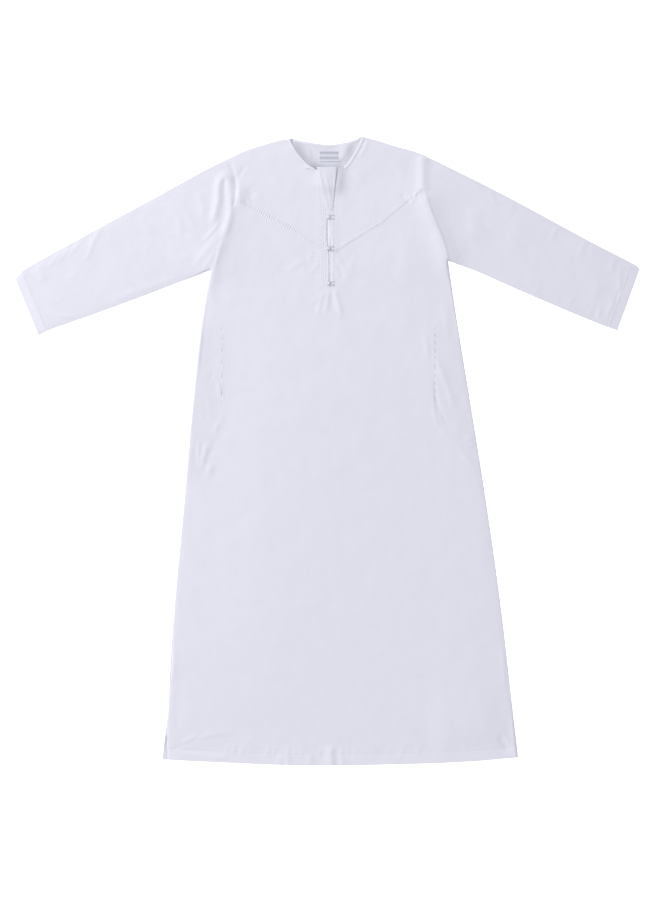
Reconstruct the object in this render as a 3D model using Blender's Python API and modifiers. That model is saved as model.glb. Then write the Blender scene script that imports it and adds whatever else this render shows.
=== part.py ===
"""A white ankle-length thobe, laid flat on its back with both sleeves spread.

Metres, +Z up. +Y runs from the hem to the neck, and +X to the right of someone who looks
down on the garment. The origin lies on the surface it rests on, under the middle of its
length. Each piece is a thin wall of cloth between the pattern edges named below. The upper
layer lies on the back, the pocket bags and the underlap, a seam's width clear of each.
"""

import bisect
import math

import bmesh
import bpy
from mathutils import Vector

# Cloth and seams
CLOTH = 0.0010  # thickness of one wall of cloth
TURNED = 0.0015  # thickness where a hem is turned in
SEAM = 0.0003  # space left between two sewn pieces
DRAWN_BACK = 0.0004  # how far a pattern edge keeps from the line it is sewn on
LOFT = 0.0012  # how far the upper layer stands off the lower one away from its folded edges
LOFT_REACH = 0.018  # distance from a folded edge over which it rises
HEM_WIDTH = 0.031
HEM_ARC = 0.10  # how fast the hem rises to each side, per metre
HEM_LOW = (0.02, -0.711)
HEM_SLACK = 0.002  # keeps the grid line above a hem's inner edge thick on one side only
CUFF_STEP = 0.042  # share along a sleeve up to which its turned hem reaches

# Neck, placket and closures
BINDING_WIDTH = 0.0055
SLIT_BOTTOM = 0.3745
SLIT_LEFT = -0.0025
SLIT_RIGHT = 0.0085
SLIT_CUT_TOP = 0.47  # the cutter runs this high, past the point of the V
V_LEFT = (SLIT_LEFT, 0.452)  # where the two yoke seams meet the slit
V_RIGHT = (SLIT_RIGHT, 0.449)
NECK_LEFT_END = (-0.026, 0.636)  # front ends of the neckline
NECK_RIGHT_END = (0.036, 0.640)
STRIP_BOTTOM = 0.3690
STRIP_TOP = 0.6370
STRIP_FAR_LEFT = -0.0165
STRIP_LEFT = -0.0012
STRIP_RIGHT = 0.0042
STRIP_FAR_RIGHT = 0.0165
STRIP_SHORT = 0.0005  # how far the right strip ends below the left one's top
UNDERLAP_HALF = 0.0120
UNDERLAP_PAST = 0.0100  # how far the underlap reaches past the slit's lower end
UNDERLAP_SHORT = 0.0040  # and how far it ends below the strips' tops
PLACKET_REACH = 0.030  # half width of the stretch that lies over the underlap
FLAP_CLEAR = 0.0030  # the flap's height over the right front where it is lowest
FLAP_LIFT = 0.0075  # how much higher its free corner stands
FLAP_START_Y = 0.550
FLAP_RISE = 0.085  # length over which it comes up to its full height
FLAP_TOP_Y = 0.641
FLAP_TOP_LEFT = -0.0245
FLAP_TOP_RIGHT = 0.0228
FLAP_DROP = 0.001  # how much lower its free corner ends
FLAP_ROOT_X = -0.0140  # where it starts to stand up, going right
FLAP_WIDTH = 0.036
FLAP_CURL = 1.6  # power of the curve that it stands up in
FLAP_TURN_X = 0.0005  # where the left strip starts to climb over the slit
FLAP_TURN = 0.0030
BUTTON_RADIUS = 0.0042
BUTTON_SINK = 0.0004
BUTTONS = ((0.0015, 0.5290), (0.0018, 0.4580), (0.0020, 0.3790))  # x and y of each centre
LOOP_RADIUS = 0.0046
LOOP_CORD = 0.0008
LOOP_END = 0.0120  # how far right of the button's centre a loop is sewn down
LOOP_TURNS = 6  # straight runs in the half circle of a loop
LABEL_LOW = (-0.018, 0.654)
LABEL_HIGH = (0.030, 0.677)

# Pockets
POCKET_STEP = 0.006  # width over which the upper layer climbs onto a pocket bag
BAG_GAP = 0.0003
BAG_INSET = 0.0030
BAG_BOTTOM = -0.035
BAG_TOP = 0.285
BAG_SHARES = (0.0, 0.3, 0.6, 0.94)  # grid lines from a bag's inner edge to its fold
BAG_ROWS = 14
MOUTH_WIDTH = 0.0012
MOUTH_TOP = 0.280
MOUTH_BOTTOM = 0.106
CUT_DEPTH = 0.02  # height of the cutters, well over the thickest place
POCKET_COLUMN = 0.10  # share across the front of the grid line that follows a pocket's edge
POCKET_HOLD = 0.30  # share across the front over which that pull dies out
POCKET_EASE = 0.02  # length over which it starts and ends
POCKETS_FROM_X = 0.2  # no pocket comes nearer the centre line
POCKETS_TO_X = 0.4  # and none goes further out, into a sleeve

# How the lines of the pattern are read
TANGENT_STEP = 0.02  # share of an edge over which its direction is taken
STRETCHES = 12  # straight runs that stand for one folded edge
HALVINGS = 24  # steps of the search for where an edge crosses a height
BESIDE_FOLD = 0.012  # share across a sleeve of the grid line next to each of its folds
FOLD_END = 0.6  # share of a fold's height that is left at its ends

# The largest folds of the upper layer: x and y of the start, x and y of the end,
# reach to the left, reach to the right, height. A negative height is a trough.
FOLDS = (
    (-0.253, 0.612, -0.268, 0.545, 0.010, 0.010, 0.0055),
    (-0.227, 0.615, -0.226, 0.560, 0.010, 0.010, 0.0062),
    (-0.226, 0.560, -0.262, 0.425, 0.012, 0.009, 0.0050),
    (-0.262, 0.425, -0.276, 0.330, 0.010, 0.008, 0.0028),
    (0.204, 0.662, 0.203, 0.590, 0.012, 0.009, 0.0034),
    (0.203, 0.590, 0.262, 0.428, 0.016, 0.010, 0.0046),
    (0.238, 0.655, 0.258, 0.625, 0.010, 0.010, 0.0022),
    (-0.516, 0.490, -0.550, 0.452, 0.014, 0.014, 0.0022),
    (-0.600, 0.446, -0.640, 0.414, 0.014, 0.014, 0.0024),
    (-0.385, 0.560, -0.330, 0.515, 0.018, 0.018, 0.0018),
    (0.505, 0.505, 0.490, 0.480, 0.013, 0.013, 0.0016),
    (0.648, 0.430, 0.668, 0.390, 0.013, 0.013, 0.0018),
    (-0.011, 0.342, -0.024, 0.295, 0.012, 0.009, 0.0022),
    (0.014, 0.342, 0.028, 0.290, 0.009, 0.012, 0.0026),
    (-0.282, 0.030, -0.270, -0.050, 0.010, 0.010, 0.0020),
    (0.300, 0.350, 0.316, 0.230, 0.010, 0.010, 0.0018),
    (-0.092, -0.705, -0.100, -0.640, 0.018, 0.014, 0.0020),
    (-0.006, -0.708, -0.004, -0.630, 0.018, 0.018, 0.0030),
    (0.398, -0.690, 0.410, -0.630, 0.014, 0.010, 0.0022),
)


class Edge:
    """A smooth line through the points of one pattern edge, read by the share of its length."""

    def __init__(self, *points):
        self.points = [Vector(point) for point in points]
        self.stations = [0.0]
        for start, end in zip(self.points, self.points[1:]):
            self.stations.append(self.stations[-1] + (end - start).length)

    def slope(self, index):
        low, high = max(index - 1, 0), min(index + 1, len(self.points) - 1)
        return (self.points[high] - self.points[low]) / (self.stations[high] - self.stations[low])

    def at(self, share):
        along = share * self.stations[-1]
        index = min(max(bisect.bisect(self.stations, along) - 1, 0), len(self.points) - 2)
        span = self.stations[index + 1] - self.stations[index]
        t = (along - self.stations[index]) / span
        return (
            self.points[index] * (2 * t**3 - 3 * t**2 + 1)
            + self.slope(index) * span * (t**3 - 2 * t**2 + t)
            + self.points[index + 1] * (3 * t**2 - 2 * t**3)
            + self.slope(index + 1) * span * (t**3 - t**2)
        )


class Chain:
    """Edges joined end to end, each up to its share of the whole, so that corners stay sharp."""

    def __init__(self, *parts):
        self.parts = parts

    def at(self, share):
        start = 0.0
        for edge, end in self.parts:
            if share <= end + 1e-9:
                return edge.at(min(1.0, (share - start) / (end - start)))
            start = end
        return self.parts[-1][0].at(1.0)


class Moved:
    """Another edge, drawn aside by a fixed step."""

    def __init__(self, edge, x=0.0, y=0.0):
        self.edge = edge
        self.step = Vector((x, y))

    def at(self, share):
        return self.edge.at(share) + self.step


class Turned:
    """Another edge, read from its far end."""

    def __init__(self, edge):
        self.edge = edge

    def at(self, share):
        return self.edge.at(1.0 - share)


class Beside:
    """A line at a fixed distance to the left of another edge, over part of its length."""

    def __init__(self, edge, distance, start=0.0, end=1.0):
        self.edge = edge
        self.distance = distance
        self.start = start
        self.end = end

    def at(self, share):
        share = self.start + (self.end - self.start) * share
        before = self.edge.at(max(share - TANGENT_STEP, 0.0))
        after = self.edge.at(min(share + TANGENT_STEP, 1.0))
        along = (after - before).normalized()
        return self.edge.at(share) + Vector((-along.y, along.x)) * self.distance


# Side seams, from the hem up to the underarm. The front's stop short where the vents open.
SIDE_LEFT = Edge(
    (-0.375, -0.697), (-0.359, -0.563), (-0.345, -0.337), (-0.324, -0.111),
    (-0.304, 0.115), (-0.289, 0.262), (-0.279, 0.325), (-0.266, 0.408),
)
SIDE_RIGHT = Edge(
    (0.432, -0.692), (0.417, -0.563), (0.390, -0.337), (0.358, -0.111),
    (0.322, 0.115), (0.298, 0.262), (0.288, 0.325), (0.273, 0.429),
)
VENTED_LEFT = Edge(
    (-0.3655, -0.697), (-0.3655, -0.645), (-0.3590, -0.563), (-0.345, -0.337), (-0.324, -0.111),
    (-0.304, 0.115), (-0.289, 0.262), (-0.279, 0.325), (-0.266, 0.408),
)
VENTED_RIGHT = Edge(
    (0.4165, -0.693), (0.4170, -0.625), (0.4130, -0.535), (0.390, -0.337), (0.358, -0.111),
    (0.322, 0.115), (0.298, 0.262), (0.288, 0.325), (0.273, 0.429),
)

# Armholes, from the underarm to the yoke seam and from there to the shoulder
ARMHOLE_LOW_LEFT = Edge(
    (-0.266, 0.408), (-0.258, 0.430), (-0.239, 0.490), (-0.219, 0.538), (-0.209, 0.568),
)
ARMHOLE_HIGH_LEFT = Edge((-0.209, 0.568), (-0.205, 0.596), (-0.205, 0.625), (-0.224, 0.661))
ARMHOLE_LOW_RIGHT = Edge((0.273, 0.429), (0.259, 0.478), (0.236, 0.531), (0.213, 0.587))
ARMHOLE_HIGH_RIGHT = Edge((0.213, 0.587), (0.209, 0.610), (0.209, 0.635), (0.216, 0.670))

# Shoulders and neck, from left to right
SHOULDER_LEFT = Edge(
    (-0.224, 0.661), (-0.191, 0.677), (-0.153, 0.690), (-0.110, 0.702), (-0.085, 0.706),
)
SHOULDER_RIGHT = Edge(
    (0.079, 0.711), (0.110, 0.703), (0.155, 0.689), (0.191, 0.679), (0.216, 0.670),
)
NECK_BACK = Edge(
    (-0.085, 0.706), (-0.062, 0.701), (-0.028, 0.695), (0.003, 0.692),
    (0.035, 0.695), (0.062, 0.703), (0.079, 0.711),
)
NECK_LEFT = Edge(
    (-0.085, 0.706), (-0.079, 0.690), (-0.068, 0.673), (-0.054, 0.656), (-0.041, 0.644),
    NECK_LEFT_END,
)
NECK_RIGHT = Edge(NECK_RIGHT_END, (0.046, 0.651), (0.058, 0.669), (0.069, 0.689), (0.079, 0.711))

# Hems, from left to right
HEM_BACK = Edge(
    (-0.375, -0.697), (-0.306, -0.701), (-0.198, -0.706), (-0.096, -0.710),
    (0.006, -0.711), (0.175, -0.708), (0.318, -0.702), (0.432, -0.692),
)
HEM_FRONT = Edge(
    (-0.3655, -0.697), (-0.306, -0.700), (-0.198, -0.705), (-0.096, -0.709),
    (0.006, -0.711), (0.175, -0.708), (0.318, -0.702), (0.4165, -0.693),
)

# The V of the yoke seams
YOKE_SEAM_LEFT = Edge((-0.209, 0.568), (-0.139, 0.534), (-0.078, 0.501), (-0.034, 0.469), V_LEFT)
YOKE_SEAM_RIGHT = Edge(
    V_RIGHT, (0.020, 0.454), (0.073, 0.486), (0.124, 0.516), (0.162, 0.548), (0.213, 0.587),
)

# Sleeves, from the cuff inwards. A cuff runs from the upper fold to the lower one.
CUFF_LEFT = Edge((-0.706, 0.389), (-0.653, 0.261))
CUFF_RIGHT = Edge((0.706, 0.412), (0.655, 0.272))
SLEEVE_OVER_LEFT = Edge(
    (-0.706, 0.389), (-0.690, 0.407), (-0.546, 0.488), (-0.421, 0.556),
    (-0.324, 0.609), (-0.277, 0.635), (-0.224, 0.661),
)
SLEEVE_OVER_RIGHT = Edge(
    (0.706, 0.412), (0.697, 0.420), (0.591, 0.475), (0.442, 0.556),
    (0.338, 0.610), (0.259, 0.649), (0.216, 0.670),
)
SLEEVE_UNDER_LEFT = Edge(
    (-0.653, 0.261), (-0.634, 0.271), (-0.519, 0.312), (-0.408, 0.353),
    (-0.338, 0.380), (-0.302, 0.393), (-0.266, 0.408),
)
SLEEVE_UNDER_RIGHT = Edge(
    (0.655, 0.272), (0.618, 0.285), (0.521, 0.325), (0.426, 0.366),
    (0.333, 0.407), (0.297, 0.420), (0.273, 0.429),
)

# Inner edge of each pocket bag, from its top to its bottom. Its outer edge is the side seam.
POCKET_LEFT = Edge(
    (-0.252, 0.314), (-0.2415, 0.290), (-0.2385, 0.200), (-0.2365, 0.106), (-0.246, 0.082),
    (-0.252, 0.034), (-0.270, -0.009), (-0.281, -0.043), (-0.310, -0.084),
)
POCKET_RIGHT = Edge(
    (0.228, 0.314), (0.235, 0.290), (0.243, 0.200), (0.247, 0.106), (0.256, 0.080),
    (0.273, 0.040), (0.293, 0.008), (0.312, -0.020), (0.340, -0.064),
)

# Both sides of the left strip, which widens at its top into the open flap, from the bottom up
STRIP_OUTER = Edge(
    (STRIP_FAR_LEFT, STRIP_BOTTOM), (-0.0168, 0.520), (-0.0172, 0.600), (-0.0205, 0.626),
    (FLAP_TOP_LEFT, FLAP_TOP_Y),
)
STRIP_INNER = Chain(
    (Edge((STRIP_LEFT, STRIP_BOTTOM), (STRIP_LEFT, 0.540)), 0.60),
    (Edge((STRIP_LEFT, 0.540), (0.0115, 0.562)), 0.68),
    (
        Edge(
            (0.0115, 0.562), (0.0180, 0.590), (0.0215, 0.620),
            (FLAP_TOP_RIGHT, FLAP_TOP_Y - FLAP_DROP),
        ),
        1.0,
    ),
)

# Grid lines, as shares of the edge that they cross
LOW_STEPS = (0.0, 0.17, 0.34, 0.51, 0.68, 0.84, 1.0)
HIGH_STEPS = (0.0, 0.20, 0.40, 0.60, 0.66, 0.78, 0.89, 1.0)
SEAM_TO_NECK = 0.60  # share of a yoke's inner edge that runs up beside the slit
NECK_CORNER = 0.66  # share of it at which the neckline starts
YOKE_AT = 0.64  # share of an armhole that lies under the yoke seam
SIDE_SHARE = 0.84  # share of a body panel's side that is side seam
PLAIN_ROWS = (0.08, 0.14, 0.20, 0.26, 0.32, 0.38, 0.44, 0.50)
POCKET_ROWS = (
    0.535, 0.555, 0.575, 0.595, 0.62, 0.65, 0.68, 0.71, 0.74, 0.77,
    0.80, 0.825, 0.845, 0.865, 0.885, 0.905, 0.925, 0.96, 1.0,
)
BACK_PLAIN_ROWS = (0.15, 0.30, 0.45, 0.60, 0.75, 0.88, 1.0)
BACK_LOW_SHARE = 0.90  # share of the back's side below the yoke seam's end
BACK_NECK = (0.3, 0.7)  # shares of the back's upper edge between which the neck lies
SHOULDER_COLUMNS = 5  # grid lines across each shoulder of the back
NECK_COLUMNS = 6  # and the spaces across its neck
FRONT_COLUMNS = (0.0, 0.035, 0.07, 0.10, 0.111, 0.15, 0.21, 0.28, 0.35, 0.42)
FRONT_MIDDLE = 0.48  # share across the front at which the slit's left edge starts
YOKE_STEPS = tuple(share / FRONT_MIDDLE for share in FRONT_COLUMNS) + (1.0,)
STRIP_COLUMNS = (0.0, 0.2, 0.36, 0.52, 0.68, 0.84, 1.0)
STRIP_ROWS = (0.0, 0.1, 0.2, 0.3, 0.4, 0.5, 0.6, 0.64, 0.68, 0.74, 0.80, 0.86, 0.93, 1.0)
SLEEVE_STEPS = (
    0.0, 0.02, 0.040, 0.045, 0.09, 0.14, 0.19, 0.24, 0.30, 0.37, 0.44, 0.51, 0.58,
    0.65, 0.71, 0.77, 0.82, 0.86, 0.89, 0.915, 0.935, 0.953, 0.97, 0.986, 1.0,
)


def smooth(share):
    share = min(max(share, 0.0), 1.0)
    return share * share * (3 - 2 * share)


def even_steps(count):
    return [i / count for i in range(count + 1)]


def folded_stretches():
    """Short stretches of every edge where the upper layer is folded onto the lower one."""
    stretches = []
    for edge in (
        SIDE_LEFT, SIDE_RIGHT, SHOULDER_LEFT, SHOULDER_RIGHT,
        SLEEVE_OVER_LEFT, SLEEVE_OVER_RIGHT, SLEEVE_UNDER_LEFT, SLEEVE_UNDER_RIGHT,
    ):
        points = [edge.at(i / STRETCHES) for i in range(STRETCHES + 1)]
        stretches += zip(points, points[1:])
    return stretches


FOLDED = folded_stretches()


def distance_to(point, start, end):
    """Distance to a stretch, the nearest share along it, and a positive value on its left."""
    along = end - start
    share = min(max((point - start).dot(along) / along.length_squared, 0.0), 1.0)
    away = point - start - along * share
    return away.length, share, along.x * away.y - along.y * away.x


def fold_height(point):
    height = 0.0
    for x0, y0, x1, y1, reach_left, reach_right, rise in FOLDS:
        away, share, side = distance_to(point, Vector((x0, y0)), Vector((x1, y1)))
        reach = reach_left if side > 0 else reach_right
        if away < 3 * reach:
            level = FOLD_END + (1 - FOLD_END) * math.sin(math.pi * share)
            height += rise * level * math.exp(-((away / reach) ** 2))
    return height


def x_on(edge, y):
    """Where an edge that runs downwards crosses a height."""
    low, high = 0.0, 1.0
    for _ in range(HALVINGS):
        middle = (low + high) / 2
        if edge.at(middle).y > y:
            low = middle
        else:
            high = middle
    return edge.at(low).x


def pocket_share(point):
    """1 over a pocket bag, falling to 0 across its inner edge."""
    edge, side = (POCKET_LEFT, -1.0) if point.x < 0 else (POCKET_RIGHT, 1.0)
    past_ends = min(edge.points[0].y - point.y, point.y - edge.points[-1].y) + POCKET_STEP
    if past_ends <= 0 or not POCKETS_FROM_X < point.x * side < POCKETS_TO_X:
        return 0.0
    past_edge = (point.x - x_on(edge, point.y)) * side + POCKET_STEP
    return smooth(min(past_edge, past_ends) / POCKET_STEP)


def turned_hem(point):
    """1 over the turned hem of the skirt, 0 above it."""
    line = HEM_LOW[1] + HEM_ARC * (point.x - HEM_LOW[0]) ** 2 + HEM_WIDTH
    return 1.0 if point.y < line + HEM_SLACK else 0.0


def upper_rest(point):
    """Height of the underside of the upper layer."""
    edge_away = min(distance_to(point, start, end)[0] for start, end in FOLDED)
    height = CLOTH + SEAM + LOFT * (1 - math.exp(-edge_away / LOFT_REACH))
    over_bag = CLOTH + SEAM + 2 * CLOTH + BAG_GAP + SEAM
    height += pocket_share(point) * max(over_bag - height, 0.0)
    if abs(point.x) < PLACKET_REACH and point.y > STRIP_BOTTOM - PLACKET_REACH:
        height = max(height, 2 * (CLOTH + SEAM) + SEAM)
    height = max(height, CLOTH + SEAM + (TURNED - CLOTH) * turned_hem(point))
    return height + fold_height(point)


def on_upper(seams):
    """Heights for a piece that lies on the upper layer, this many seams' width clear of it."""
    return lambda point: upper_rest(point) + CLOTH + seams * SEAM


def patch(bottom, top, left, right):
    """The point of a panel at a share across and a share along, blended from its four edges."""

    def at(across, along):
        between_sides = left.at(along).lerp(right.at(along), across)
        between_ends = bottom.at(across).lerp(top.at(across), along)
        low = bottom.at(0.0).lerp(bottom.at(1.0), across)
        high = top.at(0.0).lerp(top.at(1.0), across)
        return between_sides + between_ends - low.lerp(high, along)

    return at


def rectangle(low, high):
    """The same for an upright rectangle between two corners."""
    return lambda across, along: Vector(
        (low[0] + (high[0] - low[0]) * across, low[1] + (high[1] - low[1]) * along)
    )


def cloth_material(name, colour, roughness):
    material = bpy.data.materials.new(name)
    material.use_nodes = True
    shader = material.node_tree.nodes["Principled BSDF"]
    shader.inputs["Base Color"].default_value = (*colour, 1.0)
    shader.inputs["Roughness"].default_value = roughness
    shader.inputs["Metallic"].default_value = 0.0
    return material


def grid(columns, rows, hemmed=False):
    """A flat grid, and the column and row of each of its vertices."""
    shape = bmesh.new()
    if hemmed:
        shape.verts.layers.deform.verify()
    bmesh.ops.create_grid(shape, x_segments=len(columns) - 1, y_segments=len(rows) - 1, size=0.5)
    places = {
        vert: (
            round((vert.co.x + 0.5) * (len(columns) - 1)),
            round((vert.co.y + 0.5) * (len(rows) - 1)),
        )
        for vert in shape.verts
    }
    return shape, places


def wall_of(name, shape, material):
    """The object of an open surface, given its thickness on the side that its faces look to."""
    has_hem = shape.verts.layers.deform.active is not None
    mesh = bpy.data.meshes.new(name)
    shape.to_mesh(mesh)
    shape.free()
    mesh.shade_smooth()
    mesh.materials.append(material)
    piece = bpy.data.objects.new(name, mesh)
    GARMENT.objects.link(piece)
    wall = piece.modifiers.new("wall", "SOLIDIFY")
    wall.thickness = CLOTH
    wall.offset = 1.0
    if has_hem:
        wall.thickness = TURNED
        wall.vertex_group = piece.vertex_groups.new(name="turned in").name
        wall.thickness_vertex_group = CLOTH / TURNED
    return piece


def panel(name, at, columns, rows, height, material, hemmed=False):
    """A wall over a pattern shape, its underside at the height given for each point."""
    shape, places = grid(columns, rows, hemmed)
    turned_in = shape.verts.layers.deform.active
    for vert, (column, row) in places.items():
        point = at(columns[column], rows[row])
        vert.co = (point.x, point.y, height(point))
        if hemmed:
            vert[turned_in][0] = turned_hem(point)
    shape.normal_update()
    if sum(face.normal.z for face in shape.faces) < 0:
        bmesh.ops.reverse_faces(shape, faces=shape.faces)
    return wall_of(name, shape, material)


def cut_through(piece, name, low, high, width):
    """A slit through one piece, along a straight line."""
    middle = (Vector(low) + Vector(high)) / 2
    along = Vector(high) - Vector(low)
    bpy.ops.mesh.primitive_cube_add(size=1.0)
    cutter = bpy.context.object
    cutter.name = name
    cutter.scale = (width, along.length, CUT_DEPTH)
    cutter.rotation_euler = (0.0, 0.0, math.atan2(along.y, along.x) - math.pi / 2)
    cutter.location = (middle.x, middle.y, CUT_DEPTH / 2)
    cutter.hide_render = True
    cutter.display_type = "WIRE"
    for collection in cutter.users_collection:
        collection.objects.unlink(cutter)
    CUTTERS.objects.link(cutter)
    slit = piece.modifiers.new(name, "BOOLEAN")
    slit.operation = "DIFFERENCE"
    slit.solver = "EXACT"
    slit.object = cutter


def body_rows(plain_rows):
    """Rows up the side seam and the lower armhole, with two lines for the turned hem."""
    hem = HEM_WIDTH / SIDE_LEFT.stations[-1]
    rows = [SIDE_SHARE * step for step in (0.0, hem, hem * 1.12, *plain_rows)]
    return rows + [SIDE_SHARE + (1 - SIDE_SHARE) * step for step in LOW_STEPS[1:]]


def build_back(material):
    """The back panel, flat on the surface from the hem to the shoulders."""
    rows = [row * BACK_LOW_SHARE for row in body_rows(BACK_PLAIN_ROWS)]
    rows += [BACK_LOW_SHARE + (1 - BACK_LOW_SHARE) * step for step in HIGH_STEPS[1:]]
    sides = [
        Chain(
            (side, SIDE_SHARE * BACK_LOW_SHARE),
            (Moved(low, x=inwards), BACK_LOW_SHARE),
            (Moved(high, x=inwards), 1.0),
        )
        for side, low, high, inwards in (
            (SIDE_LEFT, ARMHOLE_LOW_LEFT, ARMHOLE_HIGH_LEFT, DRAWN_BACK),
            (SIDE_RIGHT, ARMHOLE_LOW_RIGHT, ARMHOLE_HIGH_RIGHT, -DRAWN_BACK),
        )
    ]
    start, end = BACK_NECK
    top = Chain((SHOULDER_LEFT, start), (NECK_BACK, end), (SHOULDER_RIGHT, 1.0))
    shoulder = [start * i / SHOULDER_COLUMNS for i in range(SHOULDER_COLUMNS)]
    neck = [start + (end - start) * i / NECK_COLUMNS for i in range(NECK_COLUMNS + 1)]
    columns = shoulder + neck + [1 - share for share in reversed(shoulder)]
    panel(
        "back_panel", patch(HEM_BACK, top, *sides), columns, rows, lambda point: 0.0, material,
        hemmed=True,
    )


def along_pockets(at):
    """The front's points, with one grid line on each side drawn onto the pocket's inner edge."""

    def moved(across, along):
        point = at(across, along)
        from_side = min(across, 1.0 - across)
        if across < 0.5:
            edge, column = POCKET_LEFT, POCKET_COLUMN
        else:
            edge, column = POCKET_RIGHT, 1 - POCKET_COLUMN
        top, bottom = edge.points[0].y, edge.points[-1].y
        if from_side > POCKET_HOLD or not bottom < point.y < top:
            return point
        fading = (POCKET_HOLD - from_side) / (POCKET_HOLD - POCKET_COLUMN)
        hold = min(from_side / POCKET_COLUMN, fading)
        hold *= smooth(min(top - point.y, point.y - bottom) / POCKET_EASE)
        return Vector((point.x + (x_on(edge, point.y) - at(column, along).x) * hold, point.y))

    return moved


def build_front(material):
    """The lower front, from the hem up to the V of the yoke seams, with its slit and pocket mouths."""
    left = Chain((VENTED_LEFT, SIDE_SHARE), (Moved(ARMHOLE_LOW_LEFT, x=DRAWN_BACK), 1.0))
    right = Chain((VENTED_RIGHT, SIDE_SHARE), (Moved(ARMHOLE_LOW_RIGHT, x=-DRAWN_BACK), 1.0))
    top = Chain(
        (YOKE_SEAM_LEFT, FRONT_MIDDLE),
        (Edge(V_LEFT, V_RIGHT), 1 - FRONT_MIDDLE),
        (YOKE_SEAM_RIGHT, 1.0),
    )
    columns = [*FRONT_COLUMNS, FRONT_MIDDLE, 1 - FRONT_MIDDLE]
    columns += [1 - share for share in reversed(FRONT_COLUMNS)]
    front = panel(
        "front_panel", along_pockets(patch(HEM_FRONT, top, left, right)), columns,
        body_rows(PLAIN_ROWS + POCKET_ROWS), upper_rest, material, hemmed=True,
    )
    front.modifiers.new("flat facets", "TRIANGULATE")
    centre = (SLIT_LEFT + SLIT_RIGHT) / 2
    width = SLIT_RIGHT - SLIT_LEFT + 2 * SEAM
    cut_through(front, "slit_cutter", (centre, SLIT_BOTTOM), (centre, SLIT_CUT_TOP), width)
    for name, edge in (("mouth_cutter_left", POCKET_LEFT), ("mouth_cutter_right", POCKET_RIGHT)):
        low, high = (x_on(edge, MOUTH_BOTTOM), MOUTH_BOTTOM), (x_on(edge, MOUTH_TOP), MOUTH_TOP)
        cut_through(front, name, low, high, MOUTH_WIDTH)


def build_yokes(material):
    """The two pieces of the V yoke, between shoulder, neckline, slit and armhole."""
    left_inner = Chain(
        (Edge((SLIT_LEFT, V_LEFT[1] + DRAWN_BACK), (SLIT_LEFT, NECK_LEFT_END[1])), SEAM_TO_NECK),
        (Edge((SLIT_LEFT, NECK_LEFT_END[1]), NECK_LEFT_END), NECK_CORNER),
        (Turned(NECK_LEFT), 1.0),
    )
    right_inner = Chain(
        (Edge((SLIT_RIGHT, V_RIGHT[1] + DRAWN_BACK), (SLIT_RIGHT, STRIP_TOP)), SEAM_TO_NECK),
        (Edge((SLIT_RIGHT, STRIP_TOP), NECK_RIGHT_END), NECK_CORNER),
        (NECK_RIGHT, 1.0),
    )
    left = patch(
        Moved(YOKE_SEAM_LEFT, y=DRAWN_BACK), SHOULDER_LEFT,
        Moved(ARMHOLE_HIGH_LEFT, x=DRAWN_BACK), left_inner,
    )
    right = patch(
        Moved(YOKE_SEAM_RIGHT, y=DRAWN_BACK), SHOULDER_RIGHT,
        right_inner, Moved(ARMHOLE_HIGH_RIGHT, x=-DRAWN_BACK),
    )
    panel("yoke_left", left, YOKE_STEPS, HIGH_STEPS, upper_rest, material)
    mirrored = [1 - step for step in reversed(YOKE_STEPS)]
    panel("yoke_right", right, mirrored, HIGH_STEPS, upper_rest, material)


def face_outwards(shape, middle):
    """Turns the faces of a flattened ring away from its middle height."""
    shape.normal_update()
    if sum(face.normal.z * (face.calc_center_median().z - middle) for face in shape.faces) < 0:
        bmesh.ops.reverse_faces(shape, faces=shape.faces)


def build_sleeve(name, cuff, over, under, low, high, outwards, material):
    """A sleeve: one piece folded along its upper edge, its seam under the arm, open at both ends."""
    top_share = 1 - YOKE_AT
    armhole = Chain((Turned(high), top_share), (Turned(low), 1.0))
    armhole = Moved(armhole, x=outwards * 2 * DRAWN_BACK)
    at = patch(cuff, armhole, over, under)
    across = [top_share * (1 - step) for step in reversed(HIGH_STEPS)]
    across += [top_share + YOKE_AT * (1 - step) for step in reversed(LOW_STEPS[:-1])]
    inner = [BESIDE_FOLD] + across[1:-1] + [1 - BESIDE_FOLD]
    ring = [(0.0, 0.5)] + [(share, 1.0) for share in inner] + [(1.0, 0.5)]
    ring += [(share, 0.0) for share in reversed(inner)] + [(0.0, 0.5)]
    shape, places = grid(ring, SLEEVE_STEPS, hemmed=True)
    turned_in = shape.verts.layers.deform.active
    for vert, (column, row) in places.items():
        share, layer = ring[column]
        point = at(share, SLEEVE_STEPS[row])
        in_cuff = SLEEVE_STEPS[row] <= CUFF_STEP
        vert[turned_in][0] = 1.0 if in_cuff else 0.0
        cuffed = TURNED if in_cuff else CLOTH
        upper = max(upper_rest(point) + cuffed - CLOTH, cuffed + SEAM)
        lower = cuffed
        if layer == 0.5:
            upper = lower + SEAM
            point = point.lerp(at(0.5, SLEEVE_STEPS[row]), BESIDE_FOLD)
        if row == len(SLEEVE_STEPS) - 1 and not BESIDE_FOLD < share < 1 - BESIDE_FOLD:
            point.x += outwards * CLOTH
        vert.co = (point.x, point.y, lower + (upper - lower) * layer)
    bmesh.ops.remove_doubles(shape, verts=shape.verts, dist=1e-6)
    face_outwards(shape, 2 * CLOTH)
    wall_of(name, shape, material)


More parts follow.
